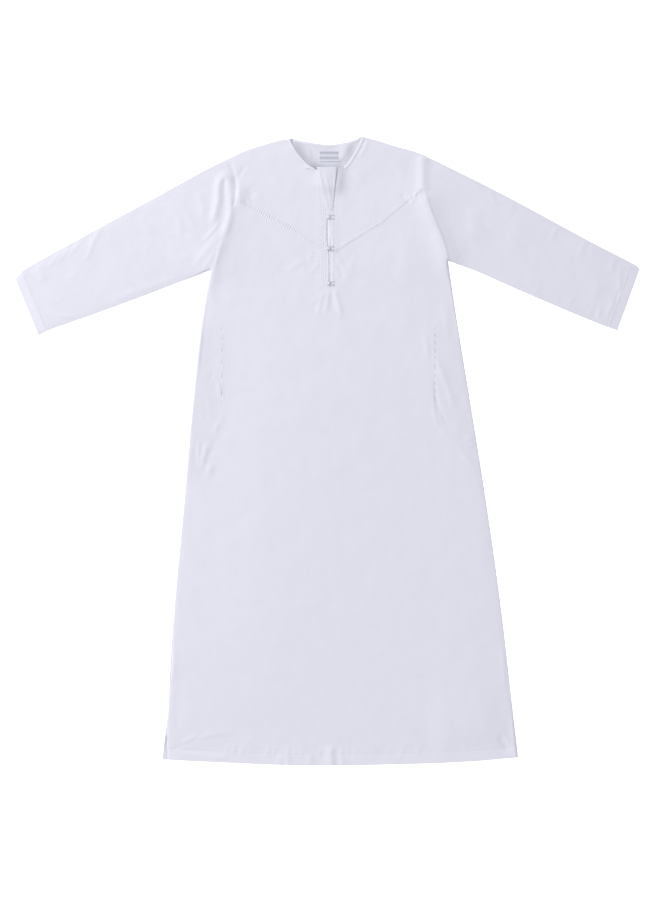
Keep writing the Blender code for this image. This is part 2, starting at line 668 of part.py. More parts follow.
def build_pocket_bag(name, edge, side_seam, outwards, material):
    """A pocket bag, folded at the side seam from one piece and open at its mouth."""
    ring = [(share, 0.0) for share in BAG_SHARES] + [(1.0, 0.5)]
    ring += [(share, 1.0) for share in reversed(BAG_SHARES)]
    rows = [BAG_BOTTOM + (BAG_TOP - BAG_BOTTOM) * i / BAG_ROWS for i in range(BAG_ROWS + 1)]
    shape, places = grid(ring, rows)
    for vert, (column, row) in places.items():
        share, layer = ring[column]
        y = rows[row]
        start = x_on(edge, y) + BAG_INSET * outwards
        end = x_on(side_seam, y) - BAG_INSET * outwards
        vert.co = (start + (end - start) * share, y, 2 * CLOTH + SEAM + BAG_GAP * layer)
    face_outwards(shape, 2 * CLOTH + SEAM + BAG_GAP / 2)
    wall_of(name, shape, material)


def band(name, edge, start, end, steps, height, material):
    """A narrow binding on the outer side of a neck edge."""

    def at(across, along):
        return Beside(edge, -BINDING_WIDTH * (1 - along), start, end).at(across)

    panel(name, at, even_steps(steps), even_steps(2), height, material)


def build_neck(material, woven):
    """The bindings of the neckline and the bare woven label inside the back neck."""
    band("binding_left", NECK_LEFT, 0.02, 0.96, 12, on_upper(2), material)
    band("binding_right", NECK_RIGHT, 0.02, 0.98, 10, on_upper(2), material)
    band("binding_back", NECK_BACK, 0.07, 0.93, 12, lambda point: CLOTH + SEAM, material)
    label = rectangle(LABEL_LOW, LABEL_HIGH)
    panel("woven_label", label, even_steps(2), even_steps(1), lambda point: CLOTH + SEAM, woven)


def flap_height(point):
    """The left strip lies on the front, and above the top button it stands up as an open flap."""
    height = on_upper(2)(point)
    height += FLAP_CLEAR * smooth((point.x - FLAP_TURN_X) / FLAP_TURN)
    free = min(max((point.x - FLAP_ROOT_X) / FLAP_WIDTH, 0.0), 1.0)
    return height + FLAP_LIFT * smooth((point.y - FLAP_START_Y) / FLAP_RISE) * free**FLAP_CURL


def build_placket(material):
    """The underlap, the two strips beside the slit, and the open flap at the top of the left one."""
    bottom = Edge((STRIP_FAR_LEFT, STRIP_BOTTOM), (STRIP_LEFT, STRIP_BOTTOM))
    top = Edge((FLAP_TOP_LEFT, FLAP_TOP_Y), (FLAP_TOP_RIGHT, FLAP_TOP_Y - FLAP_DROP))
    left = patch(bottom, top, STRIP_OUTER, STRIP_INNER)
    panel("placket_left", left, STRIP_COLUMNS, STRIP_ROWS, flap_height, material)
    right = rectangle((STRIP_RIGHT, STRIP_BOTTOM), (STRIP_FAR_RIGHT, STRIP_TOP - STRIP_SHORT))
    panel("placket_right", right, even_steps(3), even_steps(12), on_upper(2), material)
    middle = (STRIP_LEFT + STRIP_RIGHT) / 2
    under = rectangle(
        (middle - UNDERLAP_HALF, SLIT_BOTTOM - UNDERLAP_PAST),
        (middle + UNDERLAP_HALF, STRIP_TOP - UNDERLAP_SHORT),
    )
    panel("underlap", under, even_steps(2), even_steps(6), lambda point: CLOTH + SEAM, material)


def build_button(number, x, y, material):
    """A round cloth knot over the slit, and the corded loop that holds it."""
    strip_top = on_upper(2)(Vector((x + LOOP_END, y))) + CLOTH
    bpy.ops.mesh.primitive_uv_sphere_add(
        segments=12, ring_count=8, radius=BUTTON_RADIUS,
        location=(x, y, strip_top + BUTTON_RADIUS - BUTTON_SINK),
    )
    knot = bpy.context.object
    knot.name = f"button_{number}"
    knot.data.shade_smooth()
    knot.data.materials.append(material)
    turn = [math.pi * (0.5 + step) for step in even_steps(LOOP_TURNS)]
    path = [(x + LOOP_END, y + LOOP_RADIUS)]
    path += [
        (x + LOOP_RADIUS * math.cos(angle), y + LOOP_RADIUS * math.sin(angle)) for angle in turn
    ]
    path.append((x + LOOP_END, y - LOOP_RADIUS))
    curve = bpy.data.curves.new(f"loop_{number}", "CURVE")
    curve.dimensions = "3D"
    curve.bevel_depth = LOOP_CORD
    curve.bevel_resolution = 1
    curve.use_fill_caps = True
    line = curve.splines.new("POLY")
    line.points.add(len(path) - 1)
    for point, (px, py) in zip(line.points, path):
        point.co = (px, py, strip_top + SEAM + LOOP_CORD, 1.0)
    loop = bpy.data.objects.new(f"loop_{number}", curve)
    curve.materials.append(material)
    for collection in knot.users_collection:
        collection.objects.unlink(knot)
    for thing in (knot, loop):
        GARMENT.objects.link(thing)


def main():
    white = cloth_material("white_cotton", (0.83, 0.85, 0.90), 0.72)
    woven = cloth_material("woven_label", (0.72, 0.74, 0.78), 0.60)
    cord = cloth_material("white_cord", (0.85, 0.87, 0.92), 0.65)
    build_back(white)
    build_front(white)
    build_yokes(white)
    build_sleeve(
        "sleeve_left", CUFF_LEFT, SLEEVE_OVER_LEFT, SLEEVE_UNDER_LEFT,
        ARMHOLE_LOW_LEFT, ARMHOLE_HIGH_LEFT, -1.0, white,
    )
    build_sleeve(
        "sleeve_right", CUFF_RIGHT, SLEEVE_OVER_RIGHT, SLEEVE_UNDER_RIGHT,
        ARMHOLE_LOW_RIGHT, ARMHOLE_HIGH_RIGHT, 1.0, white,
    )
    build_pocket_bag("pocket_bag_left", POCKET_LEFT, Turned(SIDE_LEFT), -1.0, white)
    build_pocket_bag("pocket_bag_right", POCKET_RIGHT, Turned(SIDE_RIGHT), 1.0, white)
    build_neck(white, woven)
    build_placket(white)
    for number, (x, y) in enumerate(BUTTONS, start=1):
        build_button(number, x, y, cord)


for thing in list(bpy.data.objects):
    bpy.data.objects.remove(thing, do_unlink=True)
GARMENT = bpy.data.collections.new("thobe")
CUTTERS = bpy.data.collections.new("cutters")
for group in (GARMENT, CUTTERS):
    bpy.context.scene.collection.children.link(group)
main()
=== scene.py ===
"""Looks of a white ankle-length thobe that lies flat on its back with both sleeves spread.

Metres, +Z up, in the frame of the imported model. +Y runs from the hem to the neck. Each piece of
cloth is a thin shell over the pattern lines of its solid, with its creases, puckers, seams and
stitches added. The light is soft and comes from the upper left.
"""

from __future__ import annotations

import logging
import math
from collections.abc import Callable, Sequence
from dataclasses import dataclass, field
from enum import Enum
from typing import Protocol

import bmesh
import bpy
import numpy as np
from mathutils import Matrix, Vector


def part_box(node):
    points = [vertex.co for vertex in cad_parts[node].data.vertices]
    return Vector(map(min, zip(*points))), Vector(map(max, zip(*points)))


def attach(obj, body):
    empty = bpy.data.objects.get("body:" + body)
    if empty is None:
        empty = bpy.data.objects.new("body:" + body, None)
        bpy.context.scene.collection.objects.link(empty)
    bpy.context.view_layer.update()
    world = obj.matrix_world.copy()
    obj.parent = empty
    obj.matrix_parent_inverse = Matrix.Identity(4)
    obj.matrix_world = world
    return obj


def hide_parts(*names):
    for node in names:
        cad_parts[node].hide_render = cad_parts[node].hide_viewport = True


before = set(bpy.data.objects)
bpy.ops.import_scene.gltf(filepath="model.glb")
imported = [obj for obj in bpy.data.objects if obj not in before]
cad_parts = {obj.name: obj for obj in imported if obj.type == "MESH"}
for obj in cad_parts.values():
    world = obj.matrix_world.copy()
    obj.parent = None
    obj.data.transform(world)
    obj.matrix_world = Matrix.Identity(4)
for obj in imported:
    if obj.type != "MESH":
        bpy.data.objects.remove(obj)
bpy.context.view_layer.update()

LOG = logging.getLogger("thobe")
Array = np.ndarray
Point = tuple[float, float]
Heights = Callable[[Array], Array]

# Cloth and seams, as in the solids
WALL = 0.0010
TURNED = 0.0015
SEAM = 0.0003
LOFT = 0.0012
LOFT_REACH = 0.018
FABRIC = 0.0006  # thickness of the thin shells
ROLL = 0.0017  # distance from a folded edge over which the cloth rolls down to the floor
ROLL_LOW = 0.0003
HEM_WIDTH = 0.031
HEM_ARC = 0.10
HEM_LOW = (0.02, -0.711)

# Slit and strips
SLIT_BOTTOM = 0.3745
SLIT_LEFT = -0.0025
SLIT_RIGHT = 0.0085
STRIP_BOTTOM = 0.3690
STRIP_TOP = 0.6370
PLACKET_REACH = 0.030

# Pockets
POCKETS_FROM_X = 0.2  # no pocket comes nearer the centre line
POCKETS_TO_X = 0.4  # and none goes further out, into a sleeve
BAG_TOP = 0.0030
OVER_BAG = 0.0032  # underside of the upper layer over a bag
MOUTH_TOP = 0.280
MOUTH_BOTTOM = 0.106
MOUTH_GAP = 0.00008

# Vents, where the front's edge comes down onto the back
VENT_TOP = -0.560
VENT_LOW = 0.0015
VENT_ROLL_LEFT = 0.0020
VENT_ROLL_RIGHT = 0.0030


def smooth(share: Array | float) -> Array:
    """A soft rise from 0 to 1."""
    share = np.clip(share, 0.0, 1.0)
    return share * share * (3 - 2 * share)


class Line(Protocol):
    """Anything that gives the points of a pattern line by their share of its length."""

    def at(self, shares: Array) -> Array:
        """The points at these shares, with x and y in the last place."""


class Edge:
    """A smooth line through the points of one pattern edge."""

    def __init__(self, *points: Point) -> None:
        """Keeps the points and the direction at each.

        Args:
            points: x and y of each point, in metres.
        """
        self.points = np.array(points, float)
        spans = np.linalg.norm(np.diff(self.points, axis=0), axis=1)
        self.stations = np.concatenate([[0.0], np.cumsum(spans)])
        index = np.arange(len(points))
        low, high = np.maximum(index - 1, 0), np.minimum(index + 1, len(points) - 1)
        run = (self.stations[high] - self.stations[low])[:, None]
        self.slopes = (self.points[high] - self.points[low]) / run

    def at(self, shares: Array) -> Array:
        """Points on the line.

        Args:
            shares: shares of its length, in an array of any form.

        Returns:
            The points, with x and y in the last place.
        """
        along = np.clip(shares, 0.0, 1.0) * self.stations[-1]
        found = np.searchsorted(self.stations, along, side="right") - 1
        index = np.clip(found, 0, len(self.points) - 2)
        span = (self.stations[index + 1] - self.stations[index])[..., None]
        t = (along - self.stations[index])[..., None] / span
        return (
            self.points[index] * (2 * t**3 - 3 * t**2 + 1)
            + self.slopes[index] * span * (t**3 - 2 * t**2 + t)
            + self.points[index + 1] * (3 * t**2 - 2 * t**3)
            + self.slopes[index + 1] * span * (t**3 - t**2)
        )


class Chain:
    """Lines joined end to end, each up to its share of the whole, so that corners stay sharp."""

    def __init__(self, *parts: tuple[Line, float]) -> None:
        """Keeps the lines, each with the share at which it ends."""
        self.parts = parts

    def at(self, shares: Array) -> Array:
        """Points on the chain, by their share of it."""
        shares = np.asarray(shares, float)
        points = np.zeros(shares.shape + (2,))
        start = 0.0
        for line, end in self.parts:
            inside = (shares >= start - 1e-9) if start > 0 else np.ones(shares.shape, bool)
            part = line.at(np.clip((shares - start) / (end - start), 0.0, 1.0))
            points = np.where(inside[..., None], part, points)
            start = end
        return points


@dataclass(frozen=True)
class Moved:
    """Another line, drawn aside by a fixed step."""

    line: Line
    x: float = 0.0
    y: float = 0.0

    def at(self, shares: Array) -> Array:
        """Points on the moved line."""
        return self.line.at(shares) + np.array((self.x, self.y))


@dataclass(frozen=True)
class Turned:
    """Another line, read from its far end."""

    line: Line

    def at(self, shares: Array) -> Array:
        """Points on the line, from its end to its start."""
        return self.line.at(1.0 - np.asarray(shares))


@dataclass(frozen=True)
class Beside:
    """A line at a distance to the left of another one, over part of its length."""

    line: Line
    distance: float
    start: float = 0.0
    end: float = 1.0
    step: float = 0.02

    def at(self, shares: Array) -> Array:
        """Points beside the line."""
        shares = self.start + (self.end - self.start) * np.asarray(shares)
        low, high = np.maximum(shares - self.step, 0.0), np.minimum(shares + self.step, 1.0)
        along = self.line.at(high) - self.line.at(low)
        along /= np.linalg.norm(along, axis=-1, keepdims=True)
        aside = np.stack([-along[..., 1], along[..., 0]], axis=-1)
        return self.line.at(shares) + aside * self.distance


def straight(start: Point, end: Point) -> Edge:
    """A straight line between two points."""
    return Edge(start, end)


@dataclass(frozen=True)
class Patch:
    """A panel's shape, blended from its four edges."""

    bottom: Line
    top: Line
    left: Line
    right: Line

    def at(self, across: Array, along: Array) -> Array:
        """Points of the panel.

        Args:
            across: shares across it, from left to right.
            along: shares along it, from bottom to top, of a form that fits the first one's.

        Returns:
            The points, with x and y in the last place.
        """
        across, along = np.broadcast_arrays(across, along)
        a, b = across[..., None], along[..., None]
        sides = self.left.at(along) * (1 - a) + self.right.at(along) * a
        ends = self.bottom.at(across) * (1 - b) + self.top.at(across) * b
        zero, one = np.zeros(across.shape), np.ones(across.shape)
        low = self.bottom.at(zero) * (1 - a) + self.bottom.at(one) * a
        high = self.top.at(zero) * (1 - a) + self.top.at(one) * a
        return sides + ends - low * (1 - b) - high * b


# Side seams, from the hem up to the underarm. The front's stop short where the vents open.
SIDE_LEFT = Edge(
    (-0.375, -0.697), (-0.359, -0.563), (-0.345, -0.337), (-0.324, -0.111),
    (-0.304, 0.115), (-0.289, 0.262), (-0.279, 0.325), (-0.266, 0.408),
)
SIDE_RIGHT = Edge(
    (0.432, -0.692), (0.417, -0.563), (0.390, -0.337), (0.358, -0.111),
    (0.322, 0.115), (0.298, 0.262), (0.288, 0.325), (0.273, 0.429),
)
VENTED_LEFT = Edge(
    (-0.3612, -0.697), (-0.3622, -0.645), (-0.3590, -0.563), (-0.345, -0.337), (-0.324, -0.111),
    (-0.304, 0.115), (-0.289, 0.262), (-0.279, 0.325), (-0.266, 0.408),
)
VENTED_RIGHT = Edge(
    (0.4300, -0.6925), (0.4225, -0.625), (0.4130, -0.535), (0.390, -0.337), (0.358, -0.111),
    (0.322, 0.115), (0.298, 0.262), (0.288, 0.325), (0.273, 0.429),
)

# Armholes, from the underarm to the yoke seam and from there to the shoulder
ARMHOLE_LOW_LEFT = Edge(
    (-0.266, 0.408), (-0.258, 0.430), (-0.239, 0.490), (-0.219, 0.538), (-0.209, 0.568),
)
ARMHOLE_HIGH_LEFT = Edge((-0.209, 0.568), (-0.205, 0.596), (-0.205, 0.625), (-0.224, 0.661))
ARMHOLE_LOW_RIGHT = Edge((0.273, 0.429), (0.259, 0.478), (0.236, 0.531), (0.213, 0.587))
ARMHOLE_HIGH_RIGHT = Edge((0.213, 0.587), (0.209, 0.610), (0.209, 0.635), (0.216, 0.670))

# Shoulders and neck, from left to right
SHOULDER_LEFT = Edge(
    (-0.224, 0.661), (-0.191, 0.677), (-0.153, 0.690), (-0.110, 0.702), (-0.085, 0.706),
)
SHOULDER_RIGHT = Edge(
    (0.079, 0.711), (0.110, 0.703), (0.155, 0.689), (0.191, 0.679), (0.216, 0.670),
)
NECK_BACK = Edge(
    (-0.085, 0.706), (-0.062, 0.701), (-0.028, 0.695), (0.003, 0.692),
    (0.035, 0.695), (0.062, 0.703), (0.079, 0.711),
)
NECK_LEFT_END = (-0.026, 0.636)
NECK_RIGHT_END = (0.036, 0.640)
NECK_LEFT = Edge(
    (-0.085, 0.706), (-0.079, 0.690), (-0.068, 0.673), (-0.054, 0.656), (-0.041, 0.644),
    NECK_LEFT_END,
)
NECK_RIGHT = Edge(NECK_RIGHT_END, (0.046, 0.651), (0.058, 0.669), (0.069, 0.689), (0.079, 0.711))

# Hems, from left to right
HEM_BACK = Edge(
    (-0.375, -0.697), (-0.306, -0.701), (-0.198, -0.706), (-0.096, -0.710),
    (0.006, -0.711), (0.175, -0.708), (0.318, -0.702), (0.432, -0.692),
)
HEM_FRONT = Edge(
    (-0.3612, -0.6983), (-0.306, -0.7015), (-0.198, -0.7065), (-0.096, -0.7103),
    (0.006, -0.7112), (0.175, -0.7085), (0.318, -0.7025), (0.4300, -0.6930),
)

# The V of the yoke seams
V_LEFT = (SLIT_LEFT, 0.452)
V_RIGHT = (SLIT_RIGHT, 0.449)
YOKE_SEAM_LEFT = Edge((-0.209, 0.568), (-0.139, 0.534), (-0.078, 0.501), (-0.034, 0.469), V_LEFT)
YOKE_SEAM_RIGHT = Edge(
    V_RIGHT, (0.020, 0.454), (0.073, 0.486), (0.124, 0.516), (0.162, 0.548), (0.213, 0.587),
)

# Sleeves, from the cuff inwards. A cuff runs from the upper fold to the lower one.
CUFF_LEFT = Edge((-0.706, 0.389), (-0.653, 0.261))
CUFF_RIGHT = Edge((0.706, 0.412), (0.655, 0.272))
SLEEVE_OVER_LEFT = Edge(
    (-0.706, 0.389), (-0.690, 0.407), (-0.546, 0.488), (-0.421, 0.556),
    (-0.324, 0.609), (-0.277, 0.635), (-0.224, 0.661),
)
SLEEVE_OVER_RIGHT = Edge(
    (0.706, 0.412), (0.697, 0.420), (0.591, 0.475), (0.442, 0.556),
    (0.338, 0.610), (0.259, 0.649), (0.216, 0.670),
)
SLEEVE_UNDER_LEFT = Edge(
    (-0.653, 0.261), (-0.634, 0.271), (-0.519, 0.312), (-0.408, 0.353),
    (-0.338, 0.380), (-0.302, 0.393), (-0.266, 0.408),
)
SLEEVE_UNDER_RIGHT = Edge(
    (0.655, 0.272), (0.618, 0.285), (0.521, 0.325), (0.426, 0.366),
    (0.333, 0.407), (0.297, 0.420), (0.273, 0.429),
)

# Inner edge of each pocket bag, from its top to its bottom
POCKET_LEFT = Edge(
    (-0.252, 0.314), (-0.2415, 0.290), (-0.2385, 0.200), (-0.2365, 0.106), (-0.246, 0.082),
    (-0.252, 0.034), (-0.270, -0.009), (-0.281, -0.043), (-0.310, -0.084),
)
POCKET_RIGHT = Edge(
    (0.228, 0.314), (0.235, 0.290), (0.243, 0.200), (0.247, 0.106), (0.256, 0.080),
    (0.273, 0.040), (0.293, 0.008), (0.312, -0.020), (0.340, -0.064),
)


@dataclass(frozen=True)
class Nearest:
    """Where points lie beside a line: how far away, at what share of it, and on which side."""

    away: Array
    share: Array
    side: Array


def nearest(points: Array, line: Array) -> Nearest:
    """Finds the nearest place on a line of straight runs.

    Args:
        points: x and y of each point, one a row.
        line: the line's own points, one a row.

    Returns:
        The distances, the shares of the line's length, and positive sides on its left.
    """
    runs = np.linalg.norm(np.diff(line, axis=0), axis=1)
    stations = np.concatenate([[0.0], np.cumsum(runs)])
    away = np.full(len(points), np.inf)
    share, side = np.zeros(len(points)), np.zeros(len(points))
    for start, end, station, run in zip(line, line[1:], stations, runs):
        along = end - start
        t = np.clip((points - start) @ along / run**2, 0.0, 1.0)
        off = points - start - t[:, None] * along
        distance = np.hypot(off[:, 0], off[:, 1])
        closer = distance < away
        away = np.where(closer, distance, away)
        share = np.where(closer, (station + t * run) / stations[-1], share)
        side = np.where(closer, along[0] * off[:, 1] - along[1] * off[:, 0], side)
    return Nearest(away, share, side)


def x_on(edge: Edge, y: Array) -> Array:
    """Where an edge that runs downwards crosses each height."""
    points = edge.at(np.linspace(1.0, 0.0, 400))
    return np.interp(y, points[:, 1], points[:, 0])


@dataclass(frozen=True)
class Fold:
    """A soft ridge of the cloth along a line, or a trough where its height is negative.

    It reaches further to the left or right of the line's direction, and rises and falls over a share
    of the line at its start and end.
    """

    line: tuple[Point, ...]
    height: float
    left: float
    right: float
    start: float = 0.3
    end: float = 0.3

    def heights(self, points: Array) -> Array:
        """How much the fold adds at each point.

        Args:
            points: x and y of each point, one a row.

        Returns:
            The heights it adds, in metres.
        """
        added = np.zeros(len(points))
        line = Edge(*self.line).at(np.linspace(0.0, 1.0, 6 * len(self.line)))
        reach = 3.0 * max(self.left, self.right)
        low, high = line.min(axis=0) - reach, line.max(axis=0) + reach
        near = np.flatnonzero(((points > low) & (points < high)).all(axis=1))
        if not len(near):
            return added
        found = nearest(points[near], line)
        across = found.away / np.where(found.side > 0, self.left, self.right)
        level = np.exp(-(across**2)) * smooth(found.share / self.start)
        added[near] = self.height * (level * smooth((1.0 - found.share) / self.end))
        return added


ARMHOLE_LEFT_FOLDS = (
    Fold(((-0.223, 0.655), (-0.213, 0.630), (-0.207, 0.606), (-0.208, 0.573), (-0.216, 0.545)),
         -0.0013, 0.0045, 0.0045, start=0.1, end=0.2),
    Fold(((-0.184, 0.650), (-0.204, 0.612)), -0.0006, 0.005, 0.005),
    Fold(((-0.262, 0.502), (-0.253, 0.539), (-0.2475, 0.567), (-0.2450, 0.600), (-0.240, 0.614),
          (-0.2325, 0.619), (-0.2250, 0.614), (-0.2215, 0.600), (-0.2190, 0.567), (-0.2200, 0.533),
          (-0.2290, 0.499), (-0.2385, 0.474)), 0.0028, 0.009, 0.009, start=0.15, end=0.1),
    Fold(((-0.2260, 0.510), (-0.2370, 0.478), (-0.2480, 0.449), (-0.2590, 0.405), (-0.2660, 0.365),
          (-0.2740, 0.325)), 0.0025, 0.014, 0.034, start=0.25, end=0.4),
    Fold(((-0.2160, 0.575), (-0.2280, 0.515), (-0.2420, 0.460), (-0.2560, 0.405), (-0.2650, 0.365)),
         0.0036, 0.050, 0.110, start=0.3, end=0.3),
    Fold(((-0.2330, 0.490), (-0.2420, 0.460), (-0.2500, 0.430), (-0.2590, 0.396)), 0.0007, 0.004, 0.0035),
    Fold(((-0.238, 0.528), (-0.256, 0.500), (-0.284, 0.470)), 0.0008, 0.004, 0.005),
    Fold(((-0.250, 0.480), (-0.279, 0.446), (-0.304, 0.412)), 0.0007, 0.006, 0.007),
    Fold(((-0.252, 0.452), (-0.270, 0.424), (-0.286, 0.402)), 0.0004, 0.004, 0.004),
    Fold(((-0.2020, 0.620), (-0.2010, 0.575), (-0.1990, 0.535)), 0.0038, 0.0160, 0.0100, start=0.5, end=0.5),
    Fold(((-0.176, 0.600), (-0.166, 0.570)), -0.0006, 0.010, 0.008),
    Fold(((-0.2035, 0.592), (-0.2025, 0.556)), 0.0005, 0.0022, 0.0022),
    Fold(((-0.1985, 0.588), (-0.1955, 0.550)), 0.0005, 0.0024, 0.0024),
    Fold(((-0.1925, 0.580), (-0.1880, 0.546)), 0.0004, 0.0024, 0.0024),
    Fold(((-0.1810, 0.578), (-0.1740, 0.546)), 0.0003, 0.0030, 0.0030),
)
ARMHOLE_RIGHT_FOLDS = (
    Fold(((0.2165, 0.672), (0.2150, 0.649), (0.2145, 0.620), (0.2155, 0.582)),
         0.0030, 0.0120, 0.012, start=0.15, end=0.15),
    Fold(((0.213, 0.600), (0.228, 0.551), (0.2405, 0.519), (0.2555, 0.487), (0.268, 0.452),
          (0.280, 0.400), (0.292, 0.340)), 0.0034, 0.019, 0.024, start=0.15, end=0.35),
    Fold(((0.2150, 0.600), (0.2280, 0.556), (0.2400, 0.524), (0.2545, 0.490), (0.2665, 0.454),
          (0.2760, 0.410), (0.2880, 0.350)), 0.0016, 0.0040, 0.018, start=0.15, end=0.35),
    Fold(((0.195, 0.650), (0.217, 0.590), (0.2405, 0.519), (0.268, 0.452), (0.296, 0.376)),
         0.0040, 0.045, 0.110),
    Fold(((0.2030, 0.590), (0.1960, 0.572), (0.1900, 0.560)), 0.0007, 0.0035, 0.0035),
    Fold(((0.1640, 0.582), (0.1780, 0.566), (0.1860, 0.556)), -0.0010, 0.005, 0.005),
    Fold(((0.218, 0.664), (0.238, 0.640)), 0.0005, 0.005, 0.006),
    Fold(((0.232, 0.658), (0.269, 0.637), (0.310, 0.616), (0.372, 0.585)), 0.0010, 0.005, 0.008),
    Fold(((0.172, 0.574), (0.184, 0.552)), 0.0005, 0.003, 0.003),
    Fold(((0.184, 0.582), (0.193, 0.554)), 0.0006, 0.003, 0.003),
    Fold(((0.196, 0.588), (0.202, 0.562)), 0.0005, 0.003, 0.003),
    Fold(((0.104, 0.522), (0.112, 0.500)), 0.0004, 0.003, 0.003),
    Fold(((0.118, 0.530), (0.126, 0.508)), 0.0004, 0.003, 0.003),
)
SLEEVE_FOLDS = (
    Fold(((-0.508, 0.510), (-0.524, 0.484), (-0.538, 0.450), (-0.549, 0.424)), 0.0009, 0.006, 0.004,
         start=0.15),
    Fold(((-0.534, 0.496), (-0.550, 0.462)), -0.0004, 0.004, 0.005, start=0.15),
    Fold(((-0.556, 0.482), (-0.572, 0.455), (-0.592, 0.430)), 0.0006, 0.005, 0.005),
    Fold(((-0.580, 0.466), (-0.596, 0.442), (-0.616, 0.420)), 0.0007, 0.005, 0.005),
    Fold(((-0.600, 0.454), (-0.618, 0.430), (-0.634, 0.412)), 0.0006, 0.005, 0.005),
    Fold(((-0.655, 0.424), (-0.646, 0.400), (-0.640, 0.378)), 0.0008, 0.009, 0.009),
    Fold(((-0.592, 0.400), (-0.578, 0.396), (-0.560, 0.398)), 0.0005, 0.008, 0.008),
    Fold(((-0.648, 0.312), (-0.610, 0.306), (-0.566, 0.302)), 0.0006, 0.006, 0.006),
    Fold(((-0.640, 0.334), (-0.618, 0.340), (-0.590, 0.342)), 0.0005, 0.009, 0.009),
    Fold(((-0.384, 0.572), (-0.352, 0.556), (-0.322, 0.540), (-0.306, 0.512), (-0.304, 0.480)),
         0.0008, 0.010, 0.010),
    Fold(((-0.372, 0.548), (-0.344, 0.534), (-0.332, 0.510), (-0.334, 0.480)), 0.0008, 0.009, 0.009),
    Fold(((-0.300, 0.590), (-0.284, 0.560), (-0.280, 0.526)), 0.0008, 0.010, 0.008),
    Fold(((-0.322, 0.490), (-0.300, 0.476), (-0.276, 0.466)), 0.0008, 0.007, 0.007),
    Fold(((-0.362, 0.470), (-0.336, 0.444), (-0.302, 0.430)), 0.0006, 0.010, 0.010),
    Fold(((-0.452, 0.470), (-0.440, 0.452), (-0.432, 0.430)), 0.0005, 0.010, 0.010),
    Fold(((-0.430, 0.530), (-0.410, 0.512), (-0.396, 0.484)), 0.0006, 0.012, 0.010),
    Fold(((-0.500, 0.336), (-0.440, 0.358), (-0.380, 0.378), (-0.320, 0.400)), 0.0007, 0.008, 0.010),
    Fold(((0.334, 0.560), (0.330, 0.520), (0.340, 0.470)), 0.0012, 0.022, 0.018),
    Fold(((0.366, 0.588), (0.376, 0.566), (0.392, 0.548)), 0.0006, 0.005, 0.007, start=0.1, end=0.5),
    Fold(((0.420, 0.560), (0.414, 0.542), (0.412, 0.520)), 0.0005, 0.006, 0.008, start=0.1, end=0.5),
    Fold(((0.522, 0.508), (0.511, 0.490), (0.502, 0.466)), 0.0006, 0.005, 0.006, start=0.1, end=0.5),
    Fold(((0.584, 0.474), (0.574, 0.456), (0.568, 0.430)), 0.0006, 0.005, 0.007, start=0.1, end=0.5),
    Fold(((0.600, 0.466), (0.596, 0.450), (0.598, 0.432)), 0.0004, 0.004, 0.004, start=0.1, end=0.5),
    Fold(((0.650, 0.438), (0.643, 0.420), (0.640, 0.396)), 0.0007, 0.005, 0.005, start=0.1, end=0.5),
    Fold(((0.668, 0.420), (0.660, 0.400), (0.661, 0.378), (0.655, 0.352)), 0.0007, 0.004, 0.005),
    Fold(((0.662, 0.366), (0.654, 0.348), (0.652, 0.330)), -0.0004, 0.003, 0.003),
    Fold(((0.646, 0.346), (0.638, 0.320), (0.626, 0.298)), 0.0007, 0.005, 0.005),
    Fold(((0.618, 0.328), (0.613, 0.310), (0.611, 0.296)), 0.0006, 0.004, 0.004),
    Fold(((0.604, 0.330), (0.594, 0.314), (0.588, 0.300)), 0.0004, 0.005, 0.004),
    Fold(((0.620, 0.380), (0.606, 0.360), (0.598, 0.336)), 0.0005, 0.010, 0.012),
    Fold(((0.560, 0.350), (0.548, 0.336), (0.540, 0.322)), 0.0004, 0.006, 0.006),
    Fold(((0.480, 0.372), (0.470, 0.360), (0.464, 0.348)), 0.0004, 0.006, 0.006),
    Fold(((0.372, 0.398), (0.430, 0.372), (0.500, 0.344), (0.580, 0.314)), 0.0008, 0.006, 0.010),
    Fold(((0.440, 0.520), (0.424, 0.486), (0.416, 0.440)), 0.0008, 0.018, 0.018),
)
